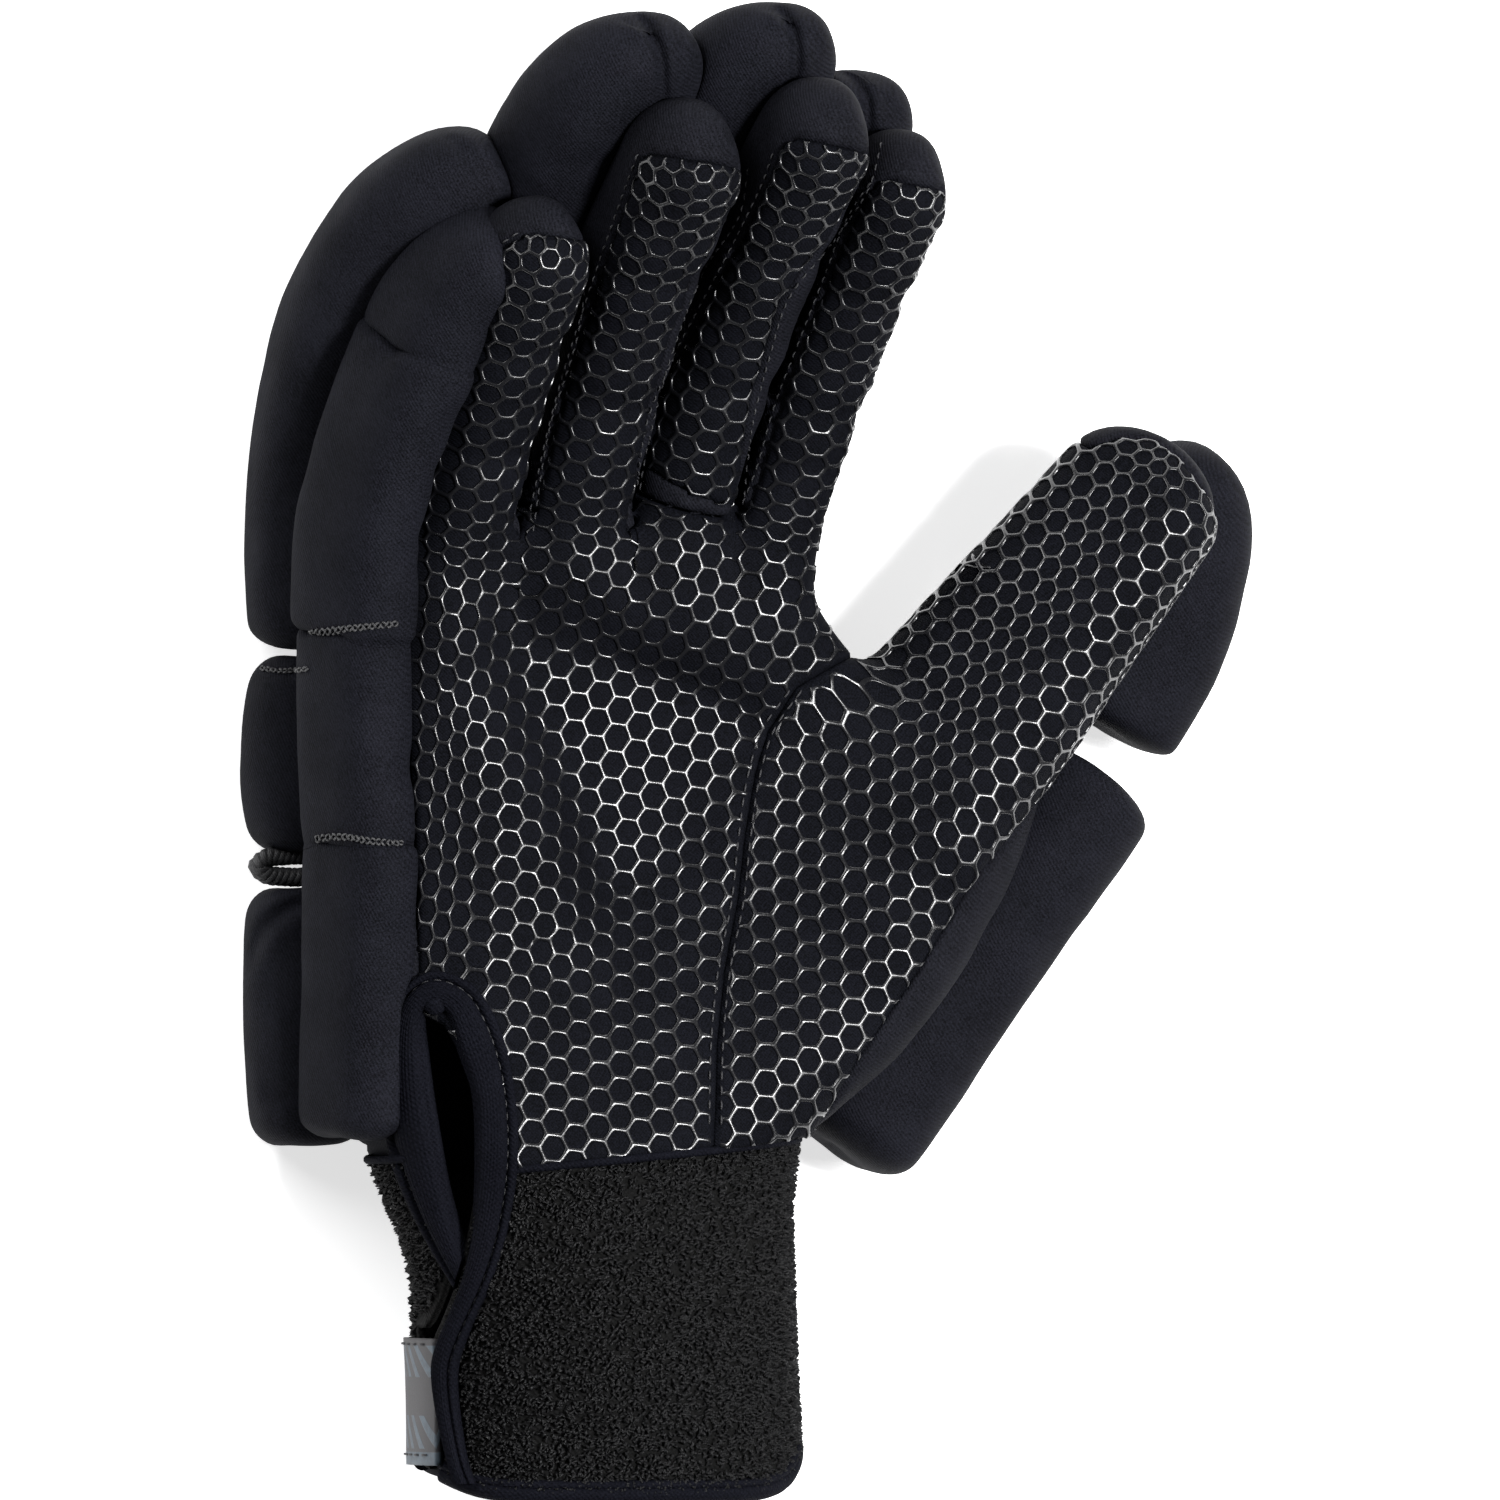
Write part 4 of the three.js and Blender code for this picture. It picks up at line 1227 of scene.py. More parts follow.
@dataclass
class PrintedNet:
    """The raised honeycomb net on the palm and the thumb's front, cell by cell.

    The net is laid out flat, as the cloth was printed, and each of its points then goes to its own
    place on the sewn hand.
    """

    shell: HandShell
    pitch: float = 4.5  # from a cell's middle to the next cell's
    line: float = 0.74  # width of the net's lines
    tall: float = 0.30
    corner: float = 0.62  # how much of a sharp corner's reach a cell's rounded corners keep
    directions: int = 24
    # Across a line, from its middle to its foot: share of its half width, share of its height
    profile: Table = ((0.0, 1.0), (0.66, 0.985), (0.9, 0.62), (1.0, 0.0), (1.05, -0.5))
    palm_turn: float = -6.5
    thumb_turn: float = -4.0
    margin: float = 0.7  # cloth left plain beside the thumb's seam
    gather: float = 1.1  # cloth that the palm's fold takes up on each side
    tip_share: float = 1.25  # over a tip the cloth is longer than the stall by this share of its cap

    def flat_place(self, limb: Limb, points: Array, along: Array, way: Array,
                   blend: tuple[float, float]) -> Array:
        """Gives the places of points on the flat cloth.

        Args:
            limb: The stall that the cloth runs on to.
            points: The points.
            along: Distance of each along the stall.
            way: Distance of each round the stall.
            blend: The distances between which the cloth turns from the palm's own plane to the
                stall's.

        Returns:
            Two numbers for each point.
        """
        roll = math.radians(limb.roll)
        knuckle = np.array(limb.knuckle)
        over = way + max(limb.deep) / 2 * math.sin(roll)
        share = smooth(*blend, along)[:, None]
        cap = limb.deep[1] * limb.tip_round
        past = np.clip((along - limb.length + cap) / cap, 0, 0.97)
        along = along + cap * (self.tip_share * np.arcsin(past) - past)
        stall = knuckle[:2] + over[:, None] * limb.flat[:2] + along[:, None] * limb.heading[:2]
        return self.palm_place(points) * (1 - share) + stall * share

    def palm_place(self, points: Array) -> Array:
        """Gives the palm's own flat places: the drop of its rounded sides counts as width."""
        drop = np.maximum(0, 40 - points[:, 2]) * smooth(-60, -71, points[:, 0])
        # Cloth gathered in the palm's fold shows less of itself
        side, ends = palm_fold(points)
        gather = self.gather * np.tanh(side / 3.0) * (ends * np.exp(-((np.abs(side) / 14) ** 2)))
        return np.column_stack([points[:, 0] - drop + 0.5 * gather, points[:, 1] + 0.86 * gather])

    def regions(self) -> list[tuple[Array, Array, Array, Panel, float, str]]:
        """Splits the printed cloth into parts that each lie flat without folding over.

        Returns:
            For each part: the faces, the flat places, where its cells' middles may lie, its panel,
            the lattice's turn and its name.
        """
        shell = self.shell
        skin, faces = shell.skin, shell.skin.faces
        faces = faces[np.all((shell.ways @ VIEW_BACK > -0.7)[faces], axis=1)]
        in_palm, in_thumb = (np.any((shell.levels[panel] > -3.5)[faces], axis=1)
                             for panel in (Panel.PALM, Panel.THUMB))
        body = np.all(shell.finger_along[faces] < 3, axis=1)
        parts = [(faces[in_palm & body], self.palm_place(skin.points), shell.finger_along < -4,
                  Panel.PALM, self.palm_turn, "palm")]
        for number, limb in enumerate(FINGERS):
            own = np.all((shell.nearest == number)[faces], axis=1) | np.all(
                (shell.finger_along < 1)[faces], axis=1)
            along = shell.along[number]
            flat = self.flat_place(limb, skin.points, along, shell.round[number], (0.0, 16.0))
            kept = faces[in_palm & own & np.all((along > -ROOT)[faces], axis=1)]
            where = (shell.finger_along >= -4) & (shell.nearest == number)
            parts.append((kept, flat, where, Panel.PALM, self.palm_turn, limb.name))
        flat = self.flat_place(THUMB, skin.points, shell.thumb_along, shell.thumb_round, (-8, 18))
        where = np.ones(len(skin.points), bool)
        parts.append((faces[in_thumb], flat, where, Panel.THUMB, self.thumb_turn, "thumb"))
        return parts

    def cell(self) -> tuple[Array, Array, Array]:
        """Gives a cell's points round its middle, their heights on the cloth, and its faces."""
        angle = np.arange(self.directions) / self.directions * math.tau
        sector = (angle + math.pi / 6) % (math.pi / 3) - math.pi / 6
        # A cell's sides face up, down and aslant, so its top and bottom are flat
        apothem = self.pitch / 2
        way = np.column_stack([np.sin(angle), np.cos(angle)])
        rings, heights = [], []
        for inset, height in self.profile:
            reach = apothem - inset * self.line / 2
            sharp = reach / np.cos(sector)
            rounded = reach * (1 + (1 / np.cos(sector) - 1) * self.corner)
            share = min(1.0, inset / 0.7)
            rings.append(way * (sharp * (1 - share) + rounded * share)[:, None])
            heights.append(np.full(self.directions, self.tall * height))
        faces = halves(grid_faces(len(rings), self.directions))
        return np.vstack(rings), np.concatenate(heights), faces

    def build(self) -> dict[Panel, Skin]:
        """Builds the net of each printed panel."""
        made: dict[Panel, list[Skin]] = {Panel.PALM: [], Panel.THUMB: []}
        cell = self.cell()
        for part in self.regions():
            made[part[3]].append(self.region_net(part, *cell))
        return {panel: Skin.joined(skins) for panel, skins in made.items()}

    def region_net(self, part: tuple, inner: Array, heights: Array, faces: Array) -> Skin:
        """Lays the cells of one region on the hand.

        Args:
            part: The region, as regions gives it.
            inner: A cell's points round its middle.
            heights: The height of each of a cell's points.
            faces: A cell's faces.

        Returns:
            The region's net, cut off at its panel's edge.
        """
        rows, flat, where, panel, turn, name = part
        shell = self.shell
        used = flat[np.unique(rows)]
        low, high = used.min(axis=0) - 6, used.max(axis=0) + 6
        column = self.pitch * math.sqrt(3) / 2
        count = int(np.max(high - low) / column) + 40
        sine, cosine = math.sin(math.radians(turn)), math.cos(math.radians(turn))
        spin = np.array([[cosine, sine], [-sine, cosine]])
        i, j = np.mgrid[-count:count, -count:count].reshape(2, -1)
        middles = np.column_stack([i * column, (j + 0.5 * (i % 2)) * self.pitch]) @ spin
        middles = middles[np.all((middles > low) & (middles < high), axis=1)]
        corners = np.column_stack([flat, np.zeros(len(flat))])
        tree = BVHTree.FromPolygons(corners.tolist(), rows.tolist(), all_triangles=True)
        level = np.minimum(shell.levels[panel], shell.seam_gap - self.margin)
        owns, parts, kept = [], [], 0
        turned_inner = inner @ spin
        for middle in middles:
            found = tree.find_nearest(Vector((*middle, 0.0)), 2.5)
            if found[0] is None:
                continue
            corner = rows[found[2]]
            if not where[corner].any() or level[corner].max() < -2.6:
                continue
            found = [tree.find_nearest(Vector((*spot, 0.0))) for spot in middle + turned_inner]
            if max(hit[3] for hit in found) > 1.5:
                continue
            for place, _, face, _ in found:
                owns.append(rows[face])
                parts.append(np.clip(shares(np.array(place), *corners[rows[face]]), 0, 1))
            kept += 1
        LOG.info("net over the %s: %d cells", name, kept)
        own, share = np.array(owns), np.array(parts)
        places, facing = shell.skin.points[own], shell.ways[own]
        levels = np.sum(share * level[own], axis=1)
        ways = unit(np.einsum("nk,nkd->nd", share, facing))
        points = np.einsum("nk,nkd->nd", share, places)
        # The shell's faces are flat; the net follows the curve through their corners
        over = np.sum((points[:, None] - places) * facing, axis=2) * share
        points = points - 0.75 * np.einsum("nk,nkd->nd", over, facing)
        points = points + (np.tile(heights, kept) - rolled_down(levels))[:, None] * ways
        starts = np.arange(kept) * len(inner)
        all_faces = (faces[None] + starts[:, None, None]).reshape(-1, 3)
        return Skin(points, all_faces).clipped(levels - 0.15)


def placed(name: str, data: bpy.types.ID) -> bpy.types.Object:
    """Adds an object with its mesh, light or camera to the scene."""
    made = bpy.data.objects.new(name, data)
    bpy.context.scene.collection.objects.link(made)
    return made


def plain_object(name: str, points: Array, faces: Array) -> bpy.types.Object:
    """Adds a bare object made of points and faces in rows of four."""
    mesh = bpy.data.meshes.new(name)
    rows = [row[:3].tolist() if row[2] == row[3] else row.tolist() for row in faces]
    mesh.from_pydata(points.tolist(), [], rows)
    return placed(name, mesh)


def taken_off(body: bpy.types.Object) -> tuple[Array, Array]:
    """Removes a bare object, and gives its modified mesh's points and its faces' corners in a row."""
    mesh = body.evaluated_get(bpy.context.evaluated_depsgraph_get()).to_mesh()
    points, corners = np.empty(len(mesh.vertices) * 3), np.empty(len(mesh.loops), np.int32)
    mesh.vertices.foreach_get("co", points)
    mesh.loops.foreach_get("vertex_index", corners)
    bpy.data.objects.remove(body)
    return points.reshape(-1, 3), corners


def add_piece(name: str, skin: Skin, finish: Finish, nodes: Sequence[str] = ()) -> bpy.types.Object:
    """Makes a piece of the glove from a surface and dresses it.

    Args:
        name: The piece's name.
        skin: Its surface, in drawing millimetres.
        finish: Its finish, with the slot that it comes from.
        nodes: The CAD nodes that it stands for.

    Returns:
        The new object.
    """
    mesh = bpy.data.meshes.new(name)
    points = skin.points * MM + DRAWING_ORIGIN
    rows = skin.fours()
    short = rows[:, 2] == rows[:, 3]
    sizes = np.repeat([4, 3], [np.sum(~short), np.sum(short)])
    corners = np.concatenate([rows[~short].ravel(), rows[short, :3].ravel()])
    mesh.vertices.add(len(points))
    mesh.vertices.foreach_set("co", points.ravel())
    mesh.loops.add(len(corners))
    mesh.loops.foreach_set("vertex_index", corners.astype(np.int32))
    mesh.polygons.add(len(sizes))
    mesh.polygons.foreach_set("loop_start", (np.cumsum(sizes) - sizes).astype(np.int32))
    mesh.polygons.foreach_set("use_smooth", np.ones(len(sizes), bool))
    mesh.update(calc_edges=True)
    mesh.validate()
    mesh.materials.append(finish.material())
    piece = placed(name, mesh)
    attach(piece, ROOT_BODY)
    if nodes:
        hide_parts(*nodes)
    LOG.info("%s: %d triangles", name, int(np.sum(sizes - 2)))
    return piece


PRINT_CLOTH = Cloth("palm_cloth", "printed_knit", (0.0007, 0.0008, 0.0013), (0.0046, 0.005, 0.0078),
                    Weave.JERSEY, pitch=0.6, relief=0.08, shine=0.04)
NEOPRENE = Cloth("neoprene_jersey", "neoprene", (0.001, 0.0011, 0.0018), (0.010, 0.0103, 0.0145),
                 Weave.TWILL, pitch=0.62, relief=0.07, shine=0.05)
FOAM_COVER = Cloth("foam_cover", "foam_pad", (0.001, 0.0011, 0.0018), (0.0096, 0.0100, 0.0146),
                   Weave.TWILL, pitch=0.62, relief=0.07, shine=0.05)
TERRY_GROUND = Cloth("terry_ground", "terry", (0.001, 0.001, 0.001), (0.006, 0.006, 0.006),
                     Weave.JERSEY, pitch=1.1, relief=0.2)
EDGE_TAPE = Cloth("edge_tape", "edge_tape", (0.0014, 0.0015, 0.0026), (0.0055, 0.0058, 0.0092),
                  Weave.JERSEY, pitch=0.9, relief=0.16, shine=0.03)
SILICONE = Silicone("printed_net", "printed_knit", (0.003, 0.003, 0.004), (0.009, 0.0095, 0.011))
BLACK_THREAD = Thread("black_thread", "neoprene", (0.003, 0.003, 0.004), (0.02, 0.02, 0.024))
GREY_THREAD = Thread("grey_thread", "neoprene", (0.008, 0.008, 0.009), (0.04, 0.04, 0.043))
ELASTIC = Thread("braided_elastic", "elastic", (0.004, 0.004, 0.005), (0.03, 0.03, 0.033))
PILE = TerryLoop("terry_pile", "terry", (0.0008, 0.0008, 0.0010), (0.0042, 0.0042, 0.0050))


PAD_AROUND = 32  # points round a pad's plain form
PAD_STEP = 3.0  # and the distance between its rings


def end_shares(near: Array, length: float, power: float, least: float) -> Array:
    """Gives a pad's share of its full size near one of its ends.

    Args:
        near: Distances to the end.
        length: Distance over which the pad closes.
        power: How square the closing is.
        least: Share left at the very end, where the pad is sewn across.

    Returns:
        The share at each distance.
    """
    reach = np.clip(1 - near / length, 0, 1)
    return least + (1 - least) * np.maximum(0, 1 - reach**power) ** (1 / power)


def end_steps(length: float, blunt: tuple[float, float]) -> Array:
    """Gives a pad's stations from 0 to its length, closer together where its ends close."""
    turn = 1 - np.cos(np.linspace(0, math.pi / 2, 7))
    middle = np.linspace(blunt[0], length - blunt[1], max(5, int((length - sum(blunt)) / PAD_STEP)))
    return np.concatenate([turn[:-1] * blunt[0], middle, length - (turn[::-1] * blunt[1])[1:]])


def pad_body(centre: Array, across: Array, up: Array, size: Array, outline: Array) -> Skin:
    """Makes a pad's plain surface.

    Args:
        centre: The middle of each of its rings.
        across: The way across each ring.
        up: The way up each ring.
        size: The share of its full size that each ring has.
        outline: The full ring, across and up.

    Returns:
        The closed surface.
    """
    flat, tall = outline.T
    return loft(centre[:, None] + size[:, None, None] * (
        flat[None, :, None] * across[:, None] + tall[None, :, None] * up[:, None])).outward()


@dataclass(frozen=True)
class Bar:
    """A long foam pad: an oval run along a way, with ends that close or are sewn across."""

    name: str
    way: tuple[tuple[float, float, float], ...]
    wide: float
    deep: float
    turn: float = 0.0
    blunt: tuple[float, float] = (3.2, 3.2)
    least: tuple[float, float] = (0.03, 0.03)
    power: float = 2.6
    close: float = 2.4

    def skin(self) -> Skin:
        """Gives the pad's plain surface."""
        path = fine_line(self.way, 0.5)
        run = run_along(path)
        at = end_steps(run[-1], self.blunt)
        way = unit(read_line(at, run, np.gradient(path, axis=0)))
        turn = math.radians(self.turn)
        across = unit(np.cross(way, [math.sin(turn), 0, math.cos(turn)]))
        size = (end_shares(at, self.blunt[0], self.close, self.least[0])
                * end_shares(run[-1] - at, self.blunt[1], self.close, self.least[1]))
        return pad_body(read_line(at, run, path), across, np.cross(across, way), size,
                        oval(self.wide, self.deep, PAD_AROUND, self.power))


SEWN = 0.84  # where a pad is sewn across, it keeps this share of its size
SIDE_BARS = (
    Bar("side_pad_lower", ((-80, -67, 26), (-80, -42, 28), (-80.5, -16.5, 30)), 14, 22.5, 20,
        (4, 2.2), (0.03, SEWN)),
    Bar("side_pad_middle", ((-80.5, -16.4, 30), (-81, 2, 30), (-82, 20.9, 31)), 14, 22.5, 20,
        (2.2, 2.2), (SEWN, SEWN)),
    Bar("side_pad_upper", ((-82, 21.0, 31), (-81.5, 40, 35), (-78, 58, 41), (-75, 69.5, 45.5)),
        15.5, 24.5, 24, (2.2, 1.8), (SEWN, 0.9)),
    Bar("side_pad_tip", ((-75, 69.6, 45.3), (-70.5, 81, 50.5), (-60.5, 90.5, 56)), 15, 22, 30,
        (1.8, 9), (0.9, 0.03), close=2.0),
)
OUTER_BARS = (
    Bar("outer_pad_lower", ((-84, -68.5, 10), (-84.7, -46, 10), (-84.7, -24, 10)), 18.4, 19.4,
        blunt=(6, 6)),
    Bar("outer_pad_middle", ((-84.4, -17.6, 10), (-85.2, -1, 10), (-83.8, 16.2, 10.2)), 18.4, 19.4,
        blunt=(6, 7), close=2.2),
    Bar("outer_pad_upper", ((-84, 18.2, 10.8), (-84.8, 42, 14), (-84.5, 62, 21), (-81.5, 80, 31),
                            (-73, 94.5, 42), (-60.5, 101, 50)), 19, 20, blunt=(5, 13), close=2.1),
)
THUMB_BARS = (
    Bar("thumb_base_pad", ((11, -68.5, 13.5), (33.5, -35, 14.5), (57.5, -4.5, 15)), 26, 26,
        blunt=(6, 5)),
    Bar("thumb_tip_pad", ((60, 5.0, 13), (69, 22, 14.5), (71.5, 38, 17.5), (66.5, 51.5, 22)), 27, 22,
        blunt=(3.5, 14), close=2.2),
)
BLOCK_ROWS = (
    ("back_pad_lower", -69, -23.5, (-74, -50, -26, -2)),
    ("back_pad_upper", -16.8, 15.5, (-74, -49, -24, 2)),
    ("knuckle_pad", 18, 33, (-74, -55, -36.5, -18.5, 0)),
)
BLOCK_DEEP, BLOCK_MIDDLE_Z, BLOCK_POWER = 16.0, 7.4, 4.0
# A finger's back pads: from, to, wide, thick, shift toward the thumb
STALL_PADS = {
    "ring": (("rib_lower", 4, 19, 19, 11, 0), ("rib_upper", 20, 36, 20, 11, -1),
             ("tip_pad", 37, 95, 31, 12, -8.5)),
    "middle": (("rib_lower", 4, 19, 18, 11, 0), ("rib_upper", 20, 36, 19, 11, 0),
               ("tip_pad", 37, 94.5, 29, 12, -7.5)),
    "index": (("rib_lower", 3, 18, 21, 11, 3.5), ("rib_upper", 19, 36, 22, 11, 3.5),
              ("tip_pad", 37, 83, 26, 11, -7.5)),
}
TIP_BLUNT, RIB_BLUNT = (5.0, 17.0), (4.5, 4.5)  # how far from its ends such a pad starts to close
PAD_SINK = 4.0  # a finger's pad goes this far past its own thickness, into the stall and out
PAD_PRESS = 1.3  # a pad's foot presses this far into the hand's cloth, where it is sewn on


@dataclass
class Pads:
    """All the foam pads: covers puffed by a cloth simulation, seated on the hand and each other."""

    form: HandForm
    frames: int = 14
    scale: float = 0.04  # the simulation takes a millimetre as this many metres
    most: float = 1.5  # the covers may swell by this much
    pressure: float = 7.0
    bending: float = 0.6
    made: dict[str, Skin] = field(default_factory=dict)

    def stall_pad(self, limb: Limb, row: tuple) -> Skin:
        """Makes one of the pads on a finger's back."""
        name, start, end, wide, thick, shift = row
        tip = name == "tip_pad"
        blunt = TIP_BLUNT if tip else RIB_BLUNT
        at = start + end_steps(end - start, blunt)
        centre, across, up = limb.frames(at)
        drop = (limb.size(at)[1] + thick) / 2
        far = smooth(end - 30, end, at) * tip
        middle = centre - up * drop[:, None] + across * (shift * (1 - 0.45 * far))[:, None]
        size = end_shares(at - start, blunt[0], 2.2, 0.03) * end_shares(end - at, blunt[1], 2.0, 0.03)
        return pad_body(middle, across, up, size, oval(wide, thick + 2 * PAD_SINK, PAD_AROUND, 2.4))

    def block(self, low: float, high: float, left: float, right: float) -> Skin:
        """Makes one foam block of the back of the hand."""
        middle = (left + right) / 2
        way = tuple((middle, y, BLOCK_MIDDLE_Z) for y in (low, (low + high) / 2, high))
        return Bar("block", way, right - left - 0.8, BLOCK_DEEP, blunt=(3, 3), power=BLOCK_POWER).skin()

    def plain_pads(self) -> dict[str, Skin]:
        """Makes every pad's plain form, before it is puffed and seated."""
        pads = {bar.name: bar.skin() for bar in (*THUMB_BARS, *OUTER_BARS, *SIDE_BARS)}
        for name, low, high, edges in BLOCK_ROWS:
            for number, (left, right) in enumerate(zip(edges[:-1], edges[1:])):
                pads[f"{name}_{number + 1}"] = self.block(low, high, left, right)
        for limb in (RING, MIDDLE, INDEX):
            for row in STALL_PADS[limb.name]:
                pads[f"{limb.name}_{row[0]}"] = self.stall_pad(limb, row)
        return pads

    def puffed(self, pads: dict[str, Skin]) -> dict[str, Skin]:
        """Fills the covers with air in one cloth simulation.

        Args:
            pads: The plain pads.

        Returns:
            The pads, swollen between the parts that are sewn down.
        """
        whole = Skin.joined(pads.values())
        puffing = plain_object("puffing", whole.points * self.scale, whole.faces)
        ends = [np.linalg.norm(skin.points[:, None] - skin.points[-2:], axis=2).min(axis=1)
                for skin in pads.values()]
        sewn = (self.form.distance(whole.points) < 0.8) | (whole.points[:, 2] < 1.0)
        held = np.maximum(sewn, smooth(7.0, 2.5, np.concatenate(ends)) * 0.8)
        group = puffing.vertex_groups.new(name="sewn")
        for level in (0.25, 0.5, 0.75, 1.0):
            picked = np.flatnonzero(np.abs(held - level) <= 0.125)
            group.add(picked.tolist(), level, "REPLACE")
        cloth = puffing.modifiers.new("puff", "CLOTH")
        for name, value in (("use_pressure", True), ("uniform_pressure_force", self.pressure),
                            ("vertex_group_mass", "sewn"), ("shrink_min", -0.05),
                            ("bending_stiffness", self.bending), ("quality", 4)):
            setattr(cloth.settings, name, value)
        cloth.settings.effector_weights.gravity = 0.0
        cloth.collision_settings.use_collision = False
        cloth.point_cache.frame_end = self.frames
        for number in range(1, self.frames + 1):
            bpy.context.scene.frame_set(number)
        swollen = taken_off(puffing)[0] / self.scale
        bpy.context.scene.frame_set(1)
        moved = swollen - whole.points
        size = np.linalg.norm(moved, axis=1, keepdims=True)
        LOG.info("pads swell by up to %.1f mm, %.2f mm in the middle", size.max(), float(np.median(size)))
        after = whole.points + moved * np.minimum(1, self.most / np.maximum(size, 1e-9))
        parts = np.split(after, np.cumsum([len(reach) for reach in ends])[:-1])
        return {name: Skin(part, pads[name].faces) for name, part in zip(pads, parts)}

    def finer(self, skin: Skin) -> Skin:
        """Rounds a pad with one step of subdivision."""
        body = plain_object("rounding", skin.points, skin.faces)
        body.modifiers.new("rounding", "SUBSURF").levels = 1
        points, corners = taken_off(body)
        return Skin(points, corners.reshape(-1, 4))

    def carved(self, skin: Skin, pixels: Table, deep: float, wide: float) -> Skin:
        """Presses a crease into a pad along a line in the photograph.

        Args:
            skin: The pad.
            pixels: The line.
            deep: Depth of the crease.
            wide: Its half width.

        Returns:
            The creased pad.
        """
        ways = skin.normals()
        gap, _ = line_distance(in_view(skin.points), fine_line(photo_line(pixels), 1.0))
        gap = np.abs(gap)
        push = deep * np.exp(-(gap / wide) ** 2) - 0.3 * deep * np.exp(-((gap - 2.4 * wide) / wide) ** 2)
        push = push * smooth(0.15, 0.6, ways @ VIEW_BACK) * smooth(6 * wide, 3 * wide, gap)
        return Skin(skin.points - push[:, None] * VIEW_BACK, skin.faces)

    def seat(self, skin: Skin) -> Skin:
        """Pushes a pad's points out of the hand, out of the pads made before it and off the floor."""
        points = skin.points.copy()
        toward = self.outward_ways(points)
        for _ in range(5):
            gap = self.form.distance(points)
            inside = gap < -PAD_PRESS
            if not inside.any():
                break
            lean = np.sum(self.form.slope(points[inside]) * toward[inside], axis=1)
            step = np.clip(-(gap[inside] + PAD_PRESS) / np.maximum(lean, 0.35), 0, 3.0)
            points[inside] += step[:, None] * toward[inside]
        for low, high, surface in self.surfaces:
            for number in np.flatnonzero(np.all((points > low) & (points < high), axis=1)):
                place, way, _, _ = surface.find_nearest(Vector(points[number]))
                depth = 0.08 - (Vector(points[number]) - place).dot(way)
                if 0 < depth < 5:
                    points[number] += np.array(way) * depth
        points = skin.points + self.evened(points - skin.points, skin.faces)
        points[:, 2] = np.maximum(points[:, 2], 0.05)
        return Skin(points, skin.faces)

    def outward_ways(self, points: Array) -> Array:
        """Gives, along a pad, the direction that leads straight out of the hand at each point."""
        centre = points.mean(axis=0)
        axis = np.linalg.svd(points - centre, full_matrices=False)[2][0]
        along = (points - centre) @ axis
        gap, slope = self.form.distance(points), self.form.slope(points)
        knots = np.linspace(along.min(), along.max(), 7)
        spread = (knots[1] - knots[0]) * 0.8
        free = np.clip(gap, 0.01, 3.0)
        ways = [unit(np.sum((free * np.exp(-((along - knot) / spread) ** 2))[:, None] * slope, axis=0))
                for knot in knots]
        return unit(read_line(along, knots, np.array(ways)))

    def evened(self, moved: Array, faces: Array) -> Array:
        """Evens out how far neighbouring points of a pad moved, so that its cover doesn't crumple."""
        ends = np.vstack([faces[:, [k, (k + 1) % 4]] for k in range(4)])
        ends = ends[ends[:, 0] != ends[:, 1]]
        count = np.bincount(ends[:, 0], minlength=len(moved))[:, None]
        for _ in range(4):
            total = np.zeros_like(moved)
            np.add.at(total, ends[:, 0], moved[ends[:, 1]])
            moved = 0.4 * moved + 0.6 * total / np.maximum(count, 1)
        return moved

    def build(self) -> None:
        """Builds, puffs, seats, creases and dresses the pads."""
        self.surfaces: list[tuple] = []
        for name, skin in self.puffed(self.plain_pads()).items():
            creases = CREASES.get(name, ())
            if not name.startswith("knuckle") and "rib" not in name:
                skin = self.finer(skin)
            if any(deep > 1.4 for _, deep, _ in creases):
                skin = self.finer(skin)
            uneven = soft_noise(skin.points, 7.0, 11) * 0.22 + soft_noise(skin.points, 3.0, 12) * 0.06
            skin = self.seat(Skin(skin.points + uneven[:, None] * skin.normals(), skin.faces))
            for pixels, deep, wide in creases:
                skin = self.carved(skin, pixels, deep, wide)
            self.made[name] = skin
            tree = BVHTree.FromPolygons(skin.points.tolist(), skin.faces.tolist())
            self.surfaces.append((skin.points.min(0) - 0.1, skin.points.max(0) + 0.1, tree))
            piece = add_piece(name + "_cover", skin, FOAM_COVER, (name,))
        self.build_threads()

    def build_threads(self) -> None:
        """Sews the cross stitches over the channels between the side pads."""
        surface = Surface(Skin.joined(
            skin for name, skin in self.made.items() if name.startswith(("side", "outer"))))
        rows = []
        for pixels, thread in CHANNEL_LINES:
            line = fine_line(photo_line(pixels), 0.25)
            run = np.arange(len(line)) * 0.25
            for turn in (0.0, math.pi):
                sway = np.sin(run / 1.9 * math.tau + turn) * thread
                places, ways, hit = surface.seen(line + np.column_stack([np.zeros(len(line)), sway]))
                rows.append(stitches(places[hit], ways[hit], 1.2, 0.1, 0.42, 0.15))
        add_piece("channel_thread", Skin.joined(rows), GREY_THREAD)


# Creases pressed into pads: lines in the photograph's pixels, depth and half width
CREASES = {
    "outer_pad_upper": ((((428, 122), (448, 136), (470, 160), (486, 182), (488, 200)), 1.2, 1.0),),
    "ring_tip_pad": ((((642, 24), (650, 34), (661, 61), (664, 104)), 1.5, 0.85),),
    "middle_tip_pad": ((((781, 16), (788, 24), (796, 50), (794, 92)), 1.5, 0.85),),
    "index_tip_pad": ((((840, 71), (848, 76), (864, 96), (868, 135)), 1.5, 0.85),),
    "outer_pad_lower": ((((325, 897), (290, 908), (264, 928), (250, 958)), 1.3, 1.1),
                        (((268, 1090), (300, 1100), (335, 1100)), 0.9, 1.0)),
    "outer_pad_middle": ((((258, 668), (285, 672), (318, 668)), 0.8, 0.9),),
    "thumb_tip_pad": ((((1128, 436), (1150, 470), (1185, 500)), 0.9, 1.2),),
}
